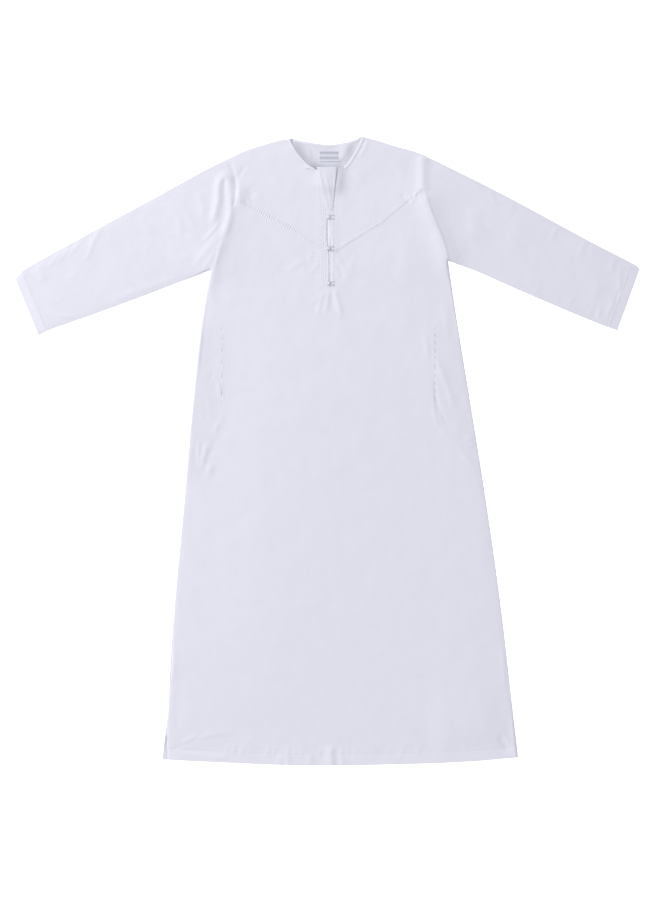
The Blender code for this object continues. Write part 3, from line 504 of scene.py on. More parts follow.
BODY_FOLDS = (
    Fold(((-0.006, 0.366), (-0.0150, 0.340), (-0.0250, 0.300)), 0.0009, 0.006, 0.005, start=0.2),
    Fold(((0.0035, 0.368), (0.0000, 0.340), (-0.0050, 0.305)), 0.0009, 0.005, 0.006, start=0.2),
    Fold(((0.0150, 0.366), (0.0230, 0.340), (0.0330, 0.296)), 0.0013, 0.006, 0.006, start=0.2),
    Fold(((0.0080, 0.356), (0.0110, 0.336), (0.0125, 0.310)), -0.0005, 0.004, 0.004),
    Fold(((-0.014, 0.356), (-0.030, 0.338), (-0.050, 0.322)), 0.0004, 0.006, 0.006),
    Fold(((-0.2290, 0.084), (-0.2470, 0.056), (-0.2550, 0.030)), 0.0006, 0.006, 0.008),
    Fold(((-0.2700, 0.020), (-0.2790, -0.010), (-0.2850, -0.034)), 0.0012, 0.006, 0.006),
    Fold(((-0.2890, 0.026), (-0.2920, 0.000), (-0.2905, -0.020)), 0.0008, 0.0035, 0.0035),
    Fold(((-0.2640, -0.030), (-0.2700, -0.048), (-0.2820, -0.064)), 0.0007, 0.009, 0.009),
    Fold(((-0.2735, 0.360), (-0.2830, 0.290), (-0.2900, 0.220), (-0.2940, 0.150)),
         0.0014, 0.004, 0.006, start=0.15),
    Fold(((-0.2680, 0.352), (-0.2560, 0.340), (-0.2440, 0.344)), 0.0007, 0.007, 0.007),
    Fold(((-0.2374, 0.276), (-0.2371, 0.200), (-0.2369, 0.106)), 0.0006, 0.0015, 0.0022, start=0.1, end=0.1),
    Fold(((-0.2835, 0.262), (-0.2850, 0.250), (-0.2865, 0.236)), 0.0006, 0.003, 0.003),
    Fold(((-0.2550, 0.266), (-0.2480, 0.254), (-0.2400, 0.240)), 0.0006, 0.003, 0.003),
    Fold(((-0.2486, 0.210), (-0.2460, 0.198), (-0.2425, 0.187)), 0.0005, 0.003, 0.003),
    Fold(((-0.2560, 0.182), (-0.2620, 0.168), (-0.2700, 0.152)), -0.0006, 0.004, 0.004),
    Fold(((-0.2459, 0.160), (-0.2450, 0.140), (-0.2420, 0.116)), 0.0007, 0.0035, 0.0030),
    Fold(((-0.2983, 0.186), (-0.2965, 0.170), (-0.2950, 0.154)), 0.0007, 0.0035, 0.0035),
    Fold(((-0.2980, 0.148), (-0.2986, 0.136), (-0.2985, 0.118)), 0.0006, 0.003, 0.003),
    Fold(((-0.2690, 0.130), (-0.2680, 0.112), (-0.2700, 0.094)), 0.0004, 0.004, 0.004),
    Fold(((-0.2770, 0.094), (-0.2765, 0.080), (-0.2780, 0.066)), -0.0004, 0.0035, 0.0035),
    Fold(((-0.2480, 0.064), (-0.2510, 0.054), (-0.2530, 0.044)), 0.0005, 0.005, 0.004),
    Fold(((-0.2650, -0.024), (-0.2640, -0.040), (-0.2665, -0.056)), 0.0009, 0.008, 0.008),
    Fold(((-0.2950, 0.020), (-0.2990, -0.010), (-0.2990, -0.040)), -0.0006, 0.005, 0.006),
    Fold(((0.2188, 0.272), (0.2230, 0.245), (0.2290, 0.204)), 0.0007, 0.006, 0.006),
    Fold(((0.2381, 0.236), (0.2530, 0.190), (0.2700, 0.145), (0.2927, 0.080)), 0.0012, 0.009, 0.007),
    Fold(((0.2381, 0.188), (0.2475, 0.110), (0.2640, 0.070), (0.2830, 0.042)), -0.0009, 0.004, 0.004),
    Fold(((0.2362, 0.134), (0.2440, 0.072), (0.2680, 0.036), (0.2990, -0.004)), 0.0006, 0.004, 0.004),
    Fold(((0.2500, 0.100), (0.2600, 0.070), (0.2720, 0.052)), 0.0005, 0.003, 0.003),
    Fold(((-0.1100, 0.360), (-0.1280, -0.100), (-0.1500, -0.660)), 0.0034, 0.240, 0.105),
    Fold(((0.3060, 0.026), (0.3160, 0.026), (0.3300, 0.030)), 0.0010, 0.004, 0.004),
    Fold(((0.3080, 0.012), (0.3200, 0.010), (0.3320, 0.014)), 0.0008, 0.004, 0.004),
    Fold(((0.2720, 0.400), (0.2820, 0.350), (0.2930, 0.300), (0.3020, 0.240)), 0.0013, 0.006, 0.004),
    Fold(((0.2600, 0.340), (0.2680, 0.300), (0.2720, 0.250)), 0.0006, 0.008, 0.008),
    Fold(((0.3920, -0.430), (0.3980, -0.480), (0.4010, -0.540)), 0.0008, 0.006, 0.006),
    Fold(((-0.3460, -0.430), (-0.3480, -0.480), (-0.3500, -0.530)), 0.0010, 0.008, 0.008),
    Fold(((-0.3340, -0.540), (-0.3380, -0.590), (-0.3400, -0.640)), -0.0007, 0.012, 0.010),
)
HEM_FOLDS = (
    Fold(((0.0090, -0.714), (0.0080, -0.690), (0.0060, -0.662)), 0.0024, 0.012, 0.008, start=0.05),
    Fold(((-0.0880, -0.714), (-0.0880, -0.690), (-0.0860, -0.664)), 0.0012, 0.009, 0.004, start=0.05),
    Fold(((0.0340, -0.712), (0.0320, -0.690), (0.0300, -0.668)), 0.0010, 0.005, 0.006, start=0.05),
    Fold(((-0.0420, -0.712), (-0.0400, -0.700), (-0.0360, -0.682)), 0.0010, 0.006, 0.006, start=0.05),
    Fold(((-0.1120, -0.712), (-0.1080, -0.698), (-0.1020, -0.684)), 0.0010, 0.006, 0.006, start=0.05),
    Fold(((-0.3350, -0.664), (-0.3140, -0.652), (-0.2900, -0.638)), 0.0010, 0.003, 0.004),
    Fold(((-0.2990, -0.650), (-0.2500, -0.639), (-0.1880, -0.630)), 0.0009, 0.005, 0.005),
    Fold(((-0.1880, -0.662), (-0.1740, -0.650), (-0.1640, -0.644)), 0.0005, 0.004, 0.004),
    Fold(((-0.3560, -0.678), (-0.3340, -0.668), (-0.3120, -0.658)), -0.0007, 0.004, 0.004),
    Fold(((-0.3560, -0.6730), (-0.3050, -0.6755), (-0.2500, -0.6765)), -0.0007, 0.003, 0.003),
    Fold(((-0.3350, -0.6840), (-0.2800, -0.6900), (-0.2000, -0.6950)), 0.0007, 0.004, 0.004),
    Fold(((0.2200, -0.6400), (0.3200, -0.6280), (0.4100, -0.6000)), 0.0032, 0.110, 0.045),
    Fold(((0.3830, -0.640), (0.3970, -0.658), (0.4100, -0.684)), -0.0018, 0.008, 0.008),
    Fold(((0.3960, -0.636), (0.4060, -0.652), (0.4130, -0.668)), 0.0008, 0.003, 0.003),
    Fold(((0.4180, -0.590), (0.4230, -0.640), (0.4265, -0.694)), 0.0018, 0.003, 0.008, end=0.05),
)
YOKE_FOLDS = (
    Fold(((-0.182, 0.618), (-0.168, 0.594), (-0.150, 0.560)), 0.0005, 0.012, 0.012),
    Fold(((-0.150, 0.672), (-0.126, 0.630), (-0.100, 0.590)), 0.0005, 0.016, 0.016),
    Fold(((-0.070, 0.640), (-0.082, 0.600), (-0.086, 0.560)), 0.0004, 0.014, 0.014),
    Fold(((0.060, 0.640), (0.080, 0.600), (0.094, 0.560)), 0.0005, 0.016, 0.016),
    Fold(((0.150, 0.668), (0.164, 0.630), (0.166, 0.590)), 0.0005, 0.014, 0.012),
    Fold(((0.030, 0.610), (0.034, 0.560), (0.030, 0.510)), 0.0004, 0.010, 0.010),
    Fold(((-0.060, 0.440), (-0.050, 0.400), (-0.030, 0.370)), 0.0004, 0.012, 0.012),
    Fold(((0.060, 0.440), (0.046, 0.400), (0.030, 0.372)), 0.0005, 0.010, 0.010),
    Fold(((-0.160, 0.500), (-0.150, 0.440), (-0.120, 0.380)), 0.0005, 0.022, 0.022),
    Fold(((0.170, 0.510), (0.180, 0.440), (0.170, 0.370)), 0.0006, 0.024, 0.024),
    Fold(((0.0180, 0.440), (0.0320, 0.420), (0.0460, 0.398)), 0.0008, 0.004, 0.005),
    Fold(((0.0120, 0.430), (0.0220, 0.405), (0.0300, 0.385)), 0.0005, 0.004, 0.004),
    Fold(((-0.0180, 0.430), (-0.0300, 0.412), (-0.0440, 0.398)), 0.0006, 0.005, 0.005),
    Fold(((-0.0500, 0.432), (-0.0700, 0.420), (-0.0950, 0.404)), 0.0007, 0.006, 0.006),
    Fold(((-0.0330, 0.452), (-0.0380, 0.440), (-0.0400, 0.428)), 0.0005, 0.003, 0.003),
    Fold(((0.0225, 0.645), (0.0215, 0.612), (0.0160, 0.572)), 0.0062, 0.015, 0.055, start=0.1, end=0.4),
    Fold(((-0.082, 0.700), (-0.066, 0.671), (-0.041, 0.644), (-0.024, 0.632)),
         0.0012, 0.010, 0.030, start=0.2, end=0.25),
    Fold(((0.094, 0.706), (0.083, 0.680), (0.069, 0.659)), 0.0006, 0.0035, 0.0040),
)
HEM_PUCKERS = (
    (-0.226, 0.0008), (-0.213, 0.0010), (-0.192, 0.0008), (-0.174, 0.0004), (-0.134, 0.0010),
    (-0.120, 0.0008), (-0.073, 0.0006), (-0.060, 0.0006), (-0.016, 0.0008), (0.046, 0.0006),
    (0.062, 0.0004), (0.104, 0.0004), (0.138, 0.0006), (0.168, 0.0006), (0.206, 0.0006),
)


def hem_pucker(x: float, height: float) -> Fold:
    """A short fold where the hem's stitches draw the cloth together."""
    seam = HEM_LOW[1] + HEM_ARC * (x - HEM_LOW[0]) ** 2 + HEM_WIDTH
    return Fold(((x - 0.002, seam - 0.016), (x, seam), (x + 0.004, seam + 0.014)), height, 0.004, 0.004)


FOLDS = (
    *ARMHOLE_LEFT_FOLDS, *ARMHOLE_RIGHT_FOLDS, *SLEEVE_FOLDS, *BODY_FOLDS, *HEM_FOLDS, *YOKE_FOLDS,
    *(hem_pucker(x, height) for x, height in HEM_PUCKERS),
)


@dataclass(frozen=True)
class Ripples:
    """The faint unevenness of pressed cotton, a sum of low waves in all directions."""

    seed: int = 7
    count: int = 80
    shortest: float = 0.018
    longest: float = 0.170
    steepness: float = 0.0210

    def heights(self, points: Array) -> Array:
        """How much the ripples add at each point, in metres."""
        chance = np.random.default_rng(self.seed)
        added = np.zeros(len(points))
        for _ in range(self.count):
            length = self.shortest * (self.longest / self.shortest) ** chance.random()
            turn = 2 * math.pi * chance.random()
            phase = 2 * math.pi * chance.random()
            along = points @ np.array((math.cos(turn), math.sin(turn)))
            size = self.steepness * length / (2 * math.pi) / math.sqrt(self.count)
            added += size * np.sin(2 * math.pi * along / length + phase)
        return added


@dataclass
class Drape:
    """How the upper layer of the robe lies over what is under it."""

    folds: Sequence[Fold] = FOLDS
    ripples: Ripples = field(default_factory=Ripples)
    folded_edges: Sequence[Line] = (
        SIDE_LEFT, SIDE_RIGHT, SHOULDER_LEFT, SHOULDER_RIGHT,
        SLEEVE_OVER_LEFT, SLEEVE_OVER_RIGHT, SLEEVE_UNDER_LEFT, SLEEVE_UNDER_RIGHT,
    )
    stretches: int = 40
    hem_step: float = 0.0018
    crisp_step: float = 0.010
    soft_step: float = 0.080
    pocket_fade: float = 0.060

    def from_edge(self, points: Array) -> Array:
        """Distance of each point from the nearest folded edge."""
        away = np.full(len(points), np.inf)
        for edge in self.folded_edges:
            line = edge.at(np.linspace(0.0, 1.0, self.stretches))
            away = np.minimum(away, nearest(points, line).away)
        return away

    def pocket_share(self, points: Array) -> Array:
        """1 over a pocket bag, falling to 0 across its inner edge.

        The fall is crisp along the lower part of the edge and hardly shows above it.

        Args:
            points: x and y of each point, one a row.

        Returns:
            The shares.
        """
        share = np.zeros(len(points))
        x, y = points[:, 0], points[:, 1]
        for edge, side in ((POCKET_LEFT, -1.0), (POCKET_RIGHT, 1.0)):
            top, bottom = edge.points[0][1], edge.points[-1][1]
            width = self.crisp_step + (self.soft_step - self.crisp_step) * smooth((y - 0.022) / 0.030)
            across = smooth(0.5 + (x - x_on(edge, y)) * side / width)
            ends = smooth((top - y) / self.pocket_fade) * smooth((y - bottom) / 0.045)
            near = (x * side > POCKETS_FROM_X) & (x * side < POCKETS_TO_X)
            share = np.maximum(share, np.where(near, across * ends, 0.0))
        return share

    def on_vents(self, points: Array, height: Array) -> Array:
        """Heights that come down onto the back along the front's edge in the vents."""
        for edge, roll in ((VENTED_LEFT, VENT_ROLL_LEFT), (VENTED_RIGHT, VENT_ROLL_RIGHT)):
            line = edge.at(np.linspace(0.0, 0.24, 24))
            away = nearest(points, line).away
            away = away + np.maximum(points[:, 1] - VENT_TOP, 0.0)
            level = 1.0 - (1.0 - np.clip(away / roll, 0.0, 1.0)) ** 2
            height = VENT_LOW + (height - VENT_LOW) * level
        return height

    def hem_share(self, points: Array) -> Array:
        """1 over the turned hem of the skirt, 0 above its stitches."""
        line = HEM_LOW[1] + HEM_ARC * (points[:, 0] - HEM_LOW[0]) ** 2 + HEM_WIDTH
        return 1.0 - smooth((points[:, 1] - line + self.hem_step) / (2 * self.hem_step))

    def under(self, points: Array) -> Array:
        """Height of the underside of the solids' upper layer, without its folds."""
        height = WALL + SEAM + LOFT * (1 - np.exp(-self.from_edge(points) / LOFT_REACH))
        height += self.pocket_share(points) * np.maximum(OVER_BAG - height, 0.0)
        x, y = points[:, 0], points[:, 1]
        beside = smooth((PLACKET_REACH - np.abs(x)) / 0.012)
        beside = beside * smooth((y - STRIP_BOTTOM + PLACKET_REACH) / 0.02)
        height += beside * np.maximum(2 * (WALL + SEAM) + SEAM - height, 0.0)
        return np.maximum(height, WALL + SEAM + (TURNED - WALL) * self.hem_share(points))

    def top(self, points: Array) -> Array:
        """Height of the upper side of the upper layer, with folds and ripples.

        Args:
            points: x and y of each point, one a row.

        Returns:
            The heights, in metres.
        """
        height = self.under(points) + WALL
        away = self.from_edge(points)
        soft = smooth(away / 0.012)
        for fold in self.folds:
            height += fold.heights(points) * smooth(away / 0.004)
        height += (self.ripples.heights(points) + 0.0002) * soft
        height = np.maximum(height, 2 * WALL)
        round_off = np.sqrt(1.0 - (1.0 - np.clip(away / ROLL, 0.0, 1.0)) ** 2)
        return self.on_vents(points, ROLL_LOW + (height - ROLL_LOW) * round_off)


DRAPE = Drape()


class Maths:
    """A number that varies over a surface, for use in Python's own expressions."""

    def __init__(self, shader: Shader, socket: bpy.types.NodeSocket) -> None:
        """Wraps an output socket of a shader's node."""
        self.shader = shader
        self.socket = socket

    def _made(self, operation: str, *values: Maths | float) -> Maths:
        """A Math node's result."""
        inputs = {i: v.socket if isinstance(v, Maths) else v for i, v in enumerate(values)}
        return self.shader.value("ShaderNodeMath", {"operation": operation}, inputs)

    def __add__(self, other: Maths | float) -> Maths:
        """The sum."""
        return self._made("ADD", self, other)

    __radd__ = __add__

    def __sub__(self, other: Maths | float) -> Maths:
        """The difference."""
        return self._made("SUBTRACT", self, other)

    def __rsub__(self, other: Maths | float) -> Maths:
        """The difference, from a plain number."""
        return self._made("SUBTRACT", other, self)

    def __mul__(self, other: Maths | float) -> Maths:
        """The product."""
        return self._made("MULTIPLY", self, other)

    __rmul__ = __mul__

    def sine(self) -> Maths:
        """The sine."""
        return self._made("SINE", self)

    def exponent(self) -> Maths:
        """e to this power."""
        return self._made("EXPONENT", self)

    def kept(self, low: float, high: float) -> Maths:
        """The value, kept between two numbers."""
        return self._made("MINIMUM", self._made("MAXIMUM", self, low), high)


Input = Maths | bpy.types.NodeSocket | float | tuple[float, ...]


class Shader:
    """A material and the nodes that are added to it."""

    def __init__(self, name: str) -> None:
        """Makes a material with its Principled node."""
        self.material = bpy.data.materials.new(name)
        self.material.use_nodes = True
        self.tree = self.material.node_tree
        self.principled = self.tree.nodes["Principled BSDF"]

    def node(self, kind: str, settings: dict[str, object], inputs: dict[int | str, Input]) -> bpy.types.Node:
        """Adds a node.

        Args:
            kind: its type's name.
            settings: its own settings, which are set first.
            inputs: values or links of its sockets, by index or name.

        Returns:
            The node.
        """
        made = self.tree.nodes.new(kind)
        for key, value in settings.items():
            setattr(made, key, value)
        self.feed(made, inputs)
        return made

    def feed(self, node: bpy.types.Node, inputs: dict[int | str, Input]) -> None:
        """Sets or links a node's sockets."""
        for key, value in inputs.items():
            if isinstance(value, Maths):
                value = value.socket
            if isinstance(value, bpy.types.NodeSocket):
                self.tree.links.new(value, node.inputs[key])
            else:
                node.inputs[key].default_value = value

    def value(self, kind: str, settings: dict[str, object], inputs: dict[int | str, Input],
              output: int | str = 0) -> Maths:
        """The number that a new node gives."""
        return Maths(self, self.node(kind, settings, inputs).outputs[output])

    def noise(self, vector: Input, scale: float, **more: float) -> Maths:
        """Noise in the plane of a map, with its further inputs by name."""
        inputs = {"Vector": vector, "Scale": scale, **more}
        return self.value("ShaderNodeTexNoise", {"noise_dimensions": "2D"}, inputs)

    def parts(self, vector: Input) -> tuple[Maths, ...]:
        """The three numbers of a vector."""
        split = self.node("ShaderNodeSeparateXYZ", {}, {0: vector})
        return tuple(Maths(self, split.outputs[i]) for i in range(3))

    def bumped(self, height: Maths) -> bpy.types.NodeSocket:
        """The surface's direction with a relief of this height in metres."""
        inputs = {"Height": height, "Distance": 1.0, "Strength": 1.0}
        return self.node("ShaderNodeBump", {}, inputs).outputs[0]

    def place(self) -> bpy.types.NodeSocket:
        """The place in the object's own metres."""
        return self.node("ShaderNodeTexCoord", {}, {}).outputs["Object"]

    def mixed(self, factor: Input, low: tuple[float, ...], high: Input) -> bpy.types.NodeSocket:
        """A colour between two colours."""
        settings = {"data_type": "RGBA"}
        inputs = {0: factor, 6: low, 7: high}
        return self.node("ShaderNodeMix", settings, inputs).outputs[2]


def linear(red: float, green: float, blue: float) -> tuple[float, float, float, float]:
    """A colour on a screen's scale of 0 to 255, as light."""
    def light(level: float) -> float:
        level /= 255
        return level / 12.92 if level <= 0.04045 else ((level + 0.055) / 1.055) ** 2.4

    return (light(red), light(green), light(blue), 1.0)


@dataclass(frozen=True)
class PoplinFinish:
    """White cotton poplin, matt with a slight sheen and a faint cool tint."""

    name: str = "white_poplin"
    shade: tuple[float, float, float] = (196, 196.5, 209.3)
    bright: tuple[float, float, float] = (233, 233.5, 245.8)
    roughness: float = 0.78
    sheen: float = 0.10
    thread: float = 0.00042
    thread_relief: float = 0.000012
    slub_relief: float = 0.00003
    crumple_relief: float = 0.00010
    pucker_period: float = 0.0052
    pucker_reach: float = 0.0065

    def made(self) -> bpy.types.Material:
        """Builds the material.

        Returns:
            The material, which reads the cloth's own map and its seam and tone values.
        """
        shader = Shader(self.name)
        cloth = shader.node("ShaderNodeUVMap", {"uv_map": "cloth"}, {}).outputs[0]
        across, along, _ = shader.parts(cloth)
        weave = (across * (2 * math.pi / self.thread)).sine() * (along * (2 * math.pi / self.thread)).sine()
        stretched = shader.node("ShaderNodeMapping", {}, {0: cloth, 3: (260.0, 30.0, 1.0)}).outputs[0]
        slub = shader.noise(stretched, 1.0, Detail=2.0)
        crossed = shader.node("ShaderNodeMapping", {}, {0: cloth, 3: (24.0, 210.0, 1.0)}).outputs[0]
        slub_across = shader.noise(crossed, 1.0, Detail=2.0)
        crumple = shader.noise(cloth, 34.0, Detail=3.0, Roughness=0.55, Distortion=0.8)
        seam = shader.node("ShaderNodeAttribute", {"attribute_name": "seam"}, {})
        station, aside, strength = shader.parts(seam.outputs["Vector"])
        wander = shader.noise(cloth, 60.0, Detail=1.0)
        fade = (aside * aside * (-1.0 / self.pucker_reach**2)).exponent()
        wave = (station * (2 * math.pi / self.pucker_period) + wander * 7.0).sine()
        pucker = wave * fade * strength * (wander * 1.6).kept(0.0, 1.0)
        height = (
            weave * self.thread_relief
            + (slub + slub_across) * self.slub_relief
            + crumple * self.crumple_relief
            + pucker
        )
        tone = shader.value("ShaderNodeAttribute", {"attribute_name": "tone"}, {}, "Fac")
        cloudy = (crumple - 0.5) * 0.10 + (slub - 0.5) * 0.07 + weave * 0.012
        colour = shader.mixed((tone + cloudy).kept(0.0, 1.0), linear(*self.shade), linear(*self.bright))
        shader.feed(shader.principled, {
            "Base Color": colour,
            "Roughness": self.roughness,
            "Normal": shader.bumped(height),
            "Sheen Weight": self.sheen,
            "Sheen Roughness": 0.5,
            "Specular IOR Level": 0.25,
        })
        return shader.material


@dataclass(frozen=True)
class ThreadFinish:
    """Sewing thread and cord, laid from twisted strands."""

    name: str
    colour: tuple[float, float, float]
    strand: float = 0.0009
    relief: float = 0.00008
    roughness: float = 0.62

    def made(self) -> bpy.types.Material:
        """Builds the material, whose strands slant across the piece."""
        shader = Shader(self.name)
        x, y, z = shader.parts(shader.place())
        slant = ((x + y + z * 0.6) * (2 * math.pi / self.strand)).sine()
        bump = shader.bumped(slant * self.relief)
        dark = tuple(level * 0.94 for level in self.colour)
        colour = shader.mixed(slant * 0.5 + 0.5, linear(*dark), linear(*self.colour))
        shader.feed(shader.principled, {
            "Base Color": colour, "Roughness": self.roughness, "Normal": bump, "Sheen Weight": 0.15,
        })
        return shader.material


@dataclass(frozen=True)
class TapeFinish:
    """Woven satin tape, with fine ribs along it."""

    name: str = "woven_tape"
    shade: tuple[float, float, float] = (178, 181, 198)
    bright: tuple[float, float, float] = (232, 234, 246)
    band: float = 0.0115
    rib: float = 0.0006
    relief: float = 0.00003

    def made(self) -> bpy.types.Material:
        """Builds the material."""
        shader = Shader(self.name)
        x, y, _ = shader.parts(shader.place())
        ribs = (x * (2 * math.pi / self.rib)).sine() * 0.6 + (y * (2 * math.pi / self.rib)).sine() * 0.4
        bump = shader.bumped(ribs * self.relief)
        bands = (y * (2 * math.pi / self.band) + 1.1).sine()
        pale = (ribs * 0.20 + bands * 0.32 + 0.42).kept(0.0, 1.0)
        colour = shader.mixed(pale, linear(*self.shade), linear(*self.bright))
        shader.feed(shader.principled, {
            "Base Color": colour, "Roughness": 0.5, "Normal": bump, "Sheen Weight": 0.2,
        })
        return shader.material


@dataclass(frozen=True)
class Wardrobe:
    """The finished materials that the pieces share."""

    poplin: bpy.types.Material
    thread: bpy.types.Material
    cord: bpy.types.Material
    tape: bpy.types.Material


@dataclass(frozen=True)
class SewnSeam:
    """A sewn line that draws the cloth together on both of its sides.

    Its strength is the height of the puckers, and its pull is a table of shares of the line's length
    with the part of that height there.
    """

    line: Line
    strength: float
    pull: tuple[tuple[float, float], ...] = ((0.0, 1.0), (1.0, 1.0))

    def strengths(self, shares: Array) -> Array:
        """The height of the puckers at these shares of the line."""
        stations, parts = zip(*self.pull)
        return self.strength * np.interp(shares, stations, parts)


SEWN_SEAMS = (
    SewnSeam(YOKE_SEAM_LEFT, 0.00044, (
        (0.0, 0.50), (0.24, 0.34), (0.31, 1.0), (0.64, 1.0), (0.68, 0.30),
        (0.73, 0.30), (0.76, 0.62), (0.84, 0.60), (0.88, 0.22), (1.0, 0.15),
    )),
    SewnSeam(YOKE_SEAM_RIGHT, 0.00012),
    SewnSeam(Chain((ARMHOLE_LOW_LEFT, 0.7), (ARMHOLE_HIGH_LEFT, 1.0)), 0.00022,
             ((0.0, 0.05), (0.52, 0.05), (0.64, 0.9), (0.84, 0.9), (1.0, 0.2))),
    SewnSeam(Chain((ARMHOLE_LOW_RIGHT, 0.7), (ARMHOLE_HIGH_RIGHT, 1.0)), 0.00018,
             ((0.0, 0.05), (0.52, 0.05), (0.64, 0.7), (0.78, 0.7), (0.90, 0.2), (1.0, 0.2))),
    SewnSeam(Moved(HEM_FRONT, y=HEM_WIDTH), 0.00008),
    SewnSeam(Beside(CUFF_LEFT, 0.024), 0.00010),
    SewnSeam(Beside(CUFF_RIGHT, -0.024), 0.00010),
    SewnSeam(NECK_LEFT, 0.00016),
    SewnSeam(NECK_RIGHT, 0.00016),
    SewnSeam(straight((-0.0165, STRIP_BOTTOM), (-0.0168, STRIP_TOP)), 0.00010),
    SewnSeam(straight((0.0165, STRIP_BOTTOM), (0.0175, STRIP_TOP)), 0.00010),
)


def seam_values(points: Array) -> Array:
    """How far along the nearest seam each point is, how far from it, and how strongly it puckers.

    Args:
        points: x and y of each point, one a row.

    Returns:
        Three values a point.
    """
    values = np.zeros((len(points), 3))
    values[:, 1] = 1.0
    best = np.full(len(points), np.inf)
    for seam in SEWN_SEAMS:
        line = seam.line.at(np.linspace(0.0, 1.0, 48))
        length = float(np.linalg.norm(np.diff(line, axis=0), axis=1).sum())
        found = nearest(points, line)
        closer = found.away < best
        best = np.where(closer, found.away, best)
        mine = np.stack([found.share * length, found.away, seam.strengths(found.share)], axis=1)
        values = np.where(closer[:, None], mine, values)
    return values


def refined(*parts: tuple[float, float, int]) -> Array:
    """Grid lines with a spacing of their own in each stretch.

    Args:
        parts: start, end and number of spaces of each stretch.

    Returns:
        The lines' shares, in order and without repeats.
    """
    lines = [np.linspace(start, end, count + 1) for start, end, count in parts]
    return np.unique(np.round(np.concatenate(lines), 7))


def edged(shares: Array, first: float, last: float) -> Array:
    """Adds three grid lines close to each end, so that rolled edges stay crisp.

    Args:
        shares: the grid lines.
        first: how far the new ones reach from the start, or 0 for none.
        last: how far they reach from the end, or 0 for none.

    Returns:
        All the lines' shares, in order.
    """
    low = [first * step for step in (0.25, 0.6, 1.0)] if first else []
    high = [1.0 - last * step for step in (1.0, 0.6, 0.25)] if last else []
    return np.unique(np.round(np.concatenate([shares, low, high]), 7))


def over(plan: Array, values: Heights) -> Array:
    """A value for each point of a grid in plan."""
    return values(plan.reshape(-1, 2)).reshape(plan.shape[:-1])


def in_scene(name: str, data: bpy.types.ID) -> bpy.types.Object:
    """Puts an object with this mesh, curve, light or camera into the scene."""
    thing = bpy.data.objects.new(name, data)
    bpy.context.scene.collection.objects.link(thing)
    return thing


class Closing(Enum):
    """Whether a shell's grid is open or goes round a tube."""

    OPEN = "open"
    ROUND = "round"


@dataclass
class Shell:
    """A thin shell of cloth over a grid of points."""

    name: str
    points: Array
    cloth: Array
    tone: Array
    closing: Closing = Closing.OPEN
    seams: bool = True

    def made(self, material: bpy.types.Material) -> bpy.types.Object:
        """Builds the piece.

        Args:
            material: its finish.

        Returns:
            The piece, whose outer surface is the grid and whose wall goes inwards.
        """
        rows, columns = self.points.shape[:2]
        shape = bmesh.new()
        bmesh.ops.create_grid(shape, x_segments=columns - 1, y_segments=rows - 1, size=0.5)
        mesh = bpy.data.meshes.new(self.name)
        shape.to_mesh(mesh)
        shape.free()
        flat = np.zeros(len(mesh.vertices) * 3, np.float32)
        mesh.vertices.foreach_get("co", flat)
        flat = flat.reshape(-1, 3)
        column = np.rint((flat[:, 0] + 0.5) * (columns - 1)).astype(int)
        row = np.rint((flat[:, 1] + 0.5) * (rows - 1)).astype(int)
        placed = self.points[row, column]
        mesh.vertices.foreach_set("co", placed.astype(np.float32).ravel())
        corner = np.zeros(len(mesh.loops), np.int32)
        mesh.loops.foreach_get("vertex_index", corner)
        mapped = mesh.uv_layers.new(name="cloth")
        mapped.data.foreach_set("uv", self.cloth[row, column][corner].astype(np.float32).ravel())
        tone = mesh.attributes.new("tone", "FLOAT", "POINT")
        tone.data.foreach_set("value", self.tone[row, column].astype(np.float32))
        seam = mesh.attributes.new("seam", "FLOAT_VECTOR", "POINT")
        values = seam_values(placed[:, :2]) if self.seams else np.zeros((len(placed), 3))
        seam.data.foreach_set("vector", values.astype(np.float32).ravel())
        mesh.update()
        mesh.shade_smooth()
        self.turn_outwards(mesh)
        mesh.materials.append(material)
        piece = in_scene(self.name, mesh)
        wall = piece.modifiers.new("wall", "SOLIDIFY")
        wall.thickness = FABRIC
        wall.offset = -1.0
        return piece

    def turn_outwards(self, mesh: bpy.types.Mesh) -> None:
        """Closes a tube's seam, and turns all faces the same way: up, or away from its middle.

        Args:
            mesh: the shell's mesh, whose free edges are made crisp.
        """
        shape = bmesh.new()
        shape.from_mesh(mesh)
        middle = 0.0
        if self.closing is Closing.ROUND:
            bmesh.ops.remove_doubles(shape, verts=shape.verts, dist=1e-6)
            middle = WALL
        shape.normal_update()
        if self.closing is Closing.ROUND:
            way = sum(f.normal.z * (f.calc_center_median().z - middle) for f in shape.faces)
        else:
            way = sum(f.normal.z for f in shape.faces)
        if way < 0:
            bmesh.ops.reverse_faces(shape, faces=shape.faces)
        for edge in shape.edges:
            edge.smooth = not edge.is_boundary
        shape.to_mesh(mesh)
        shape.free()


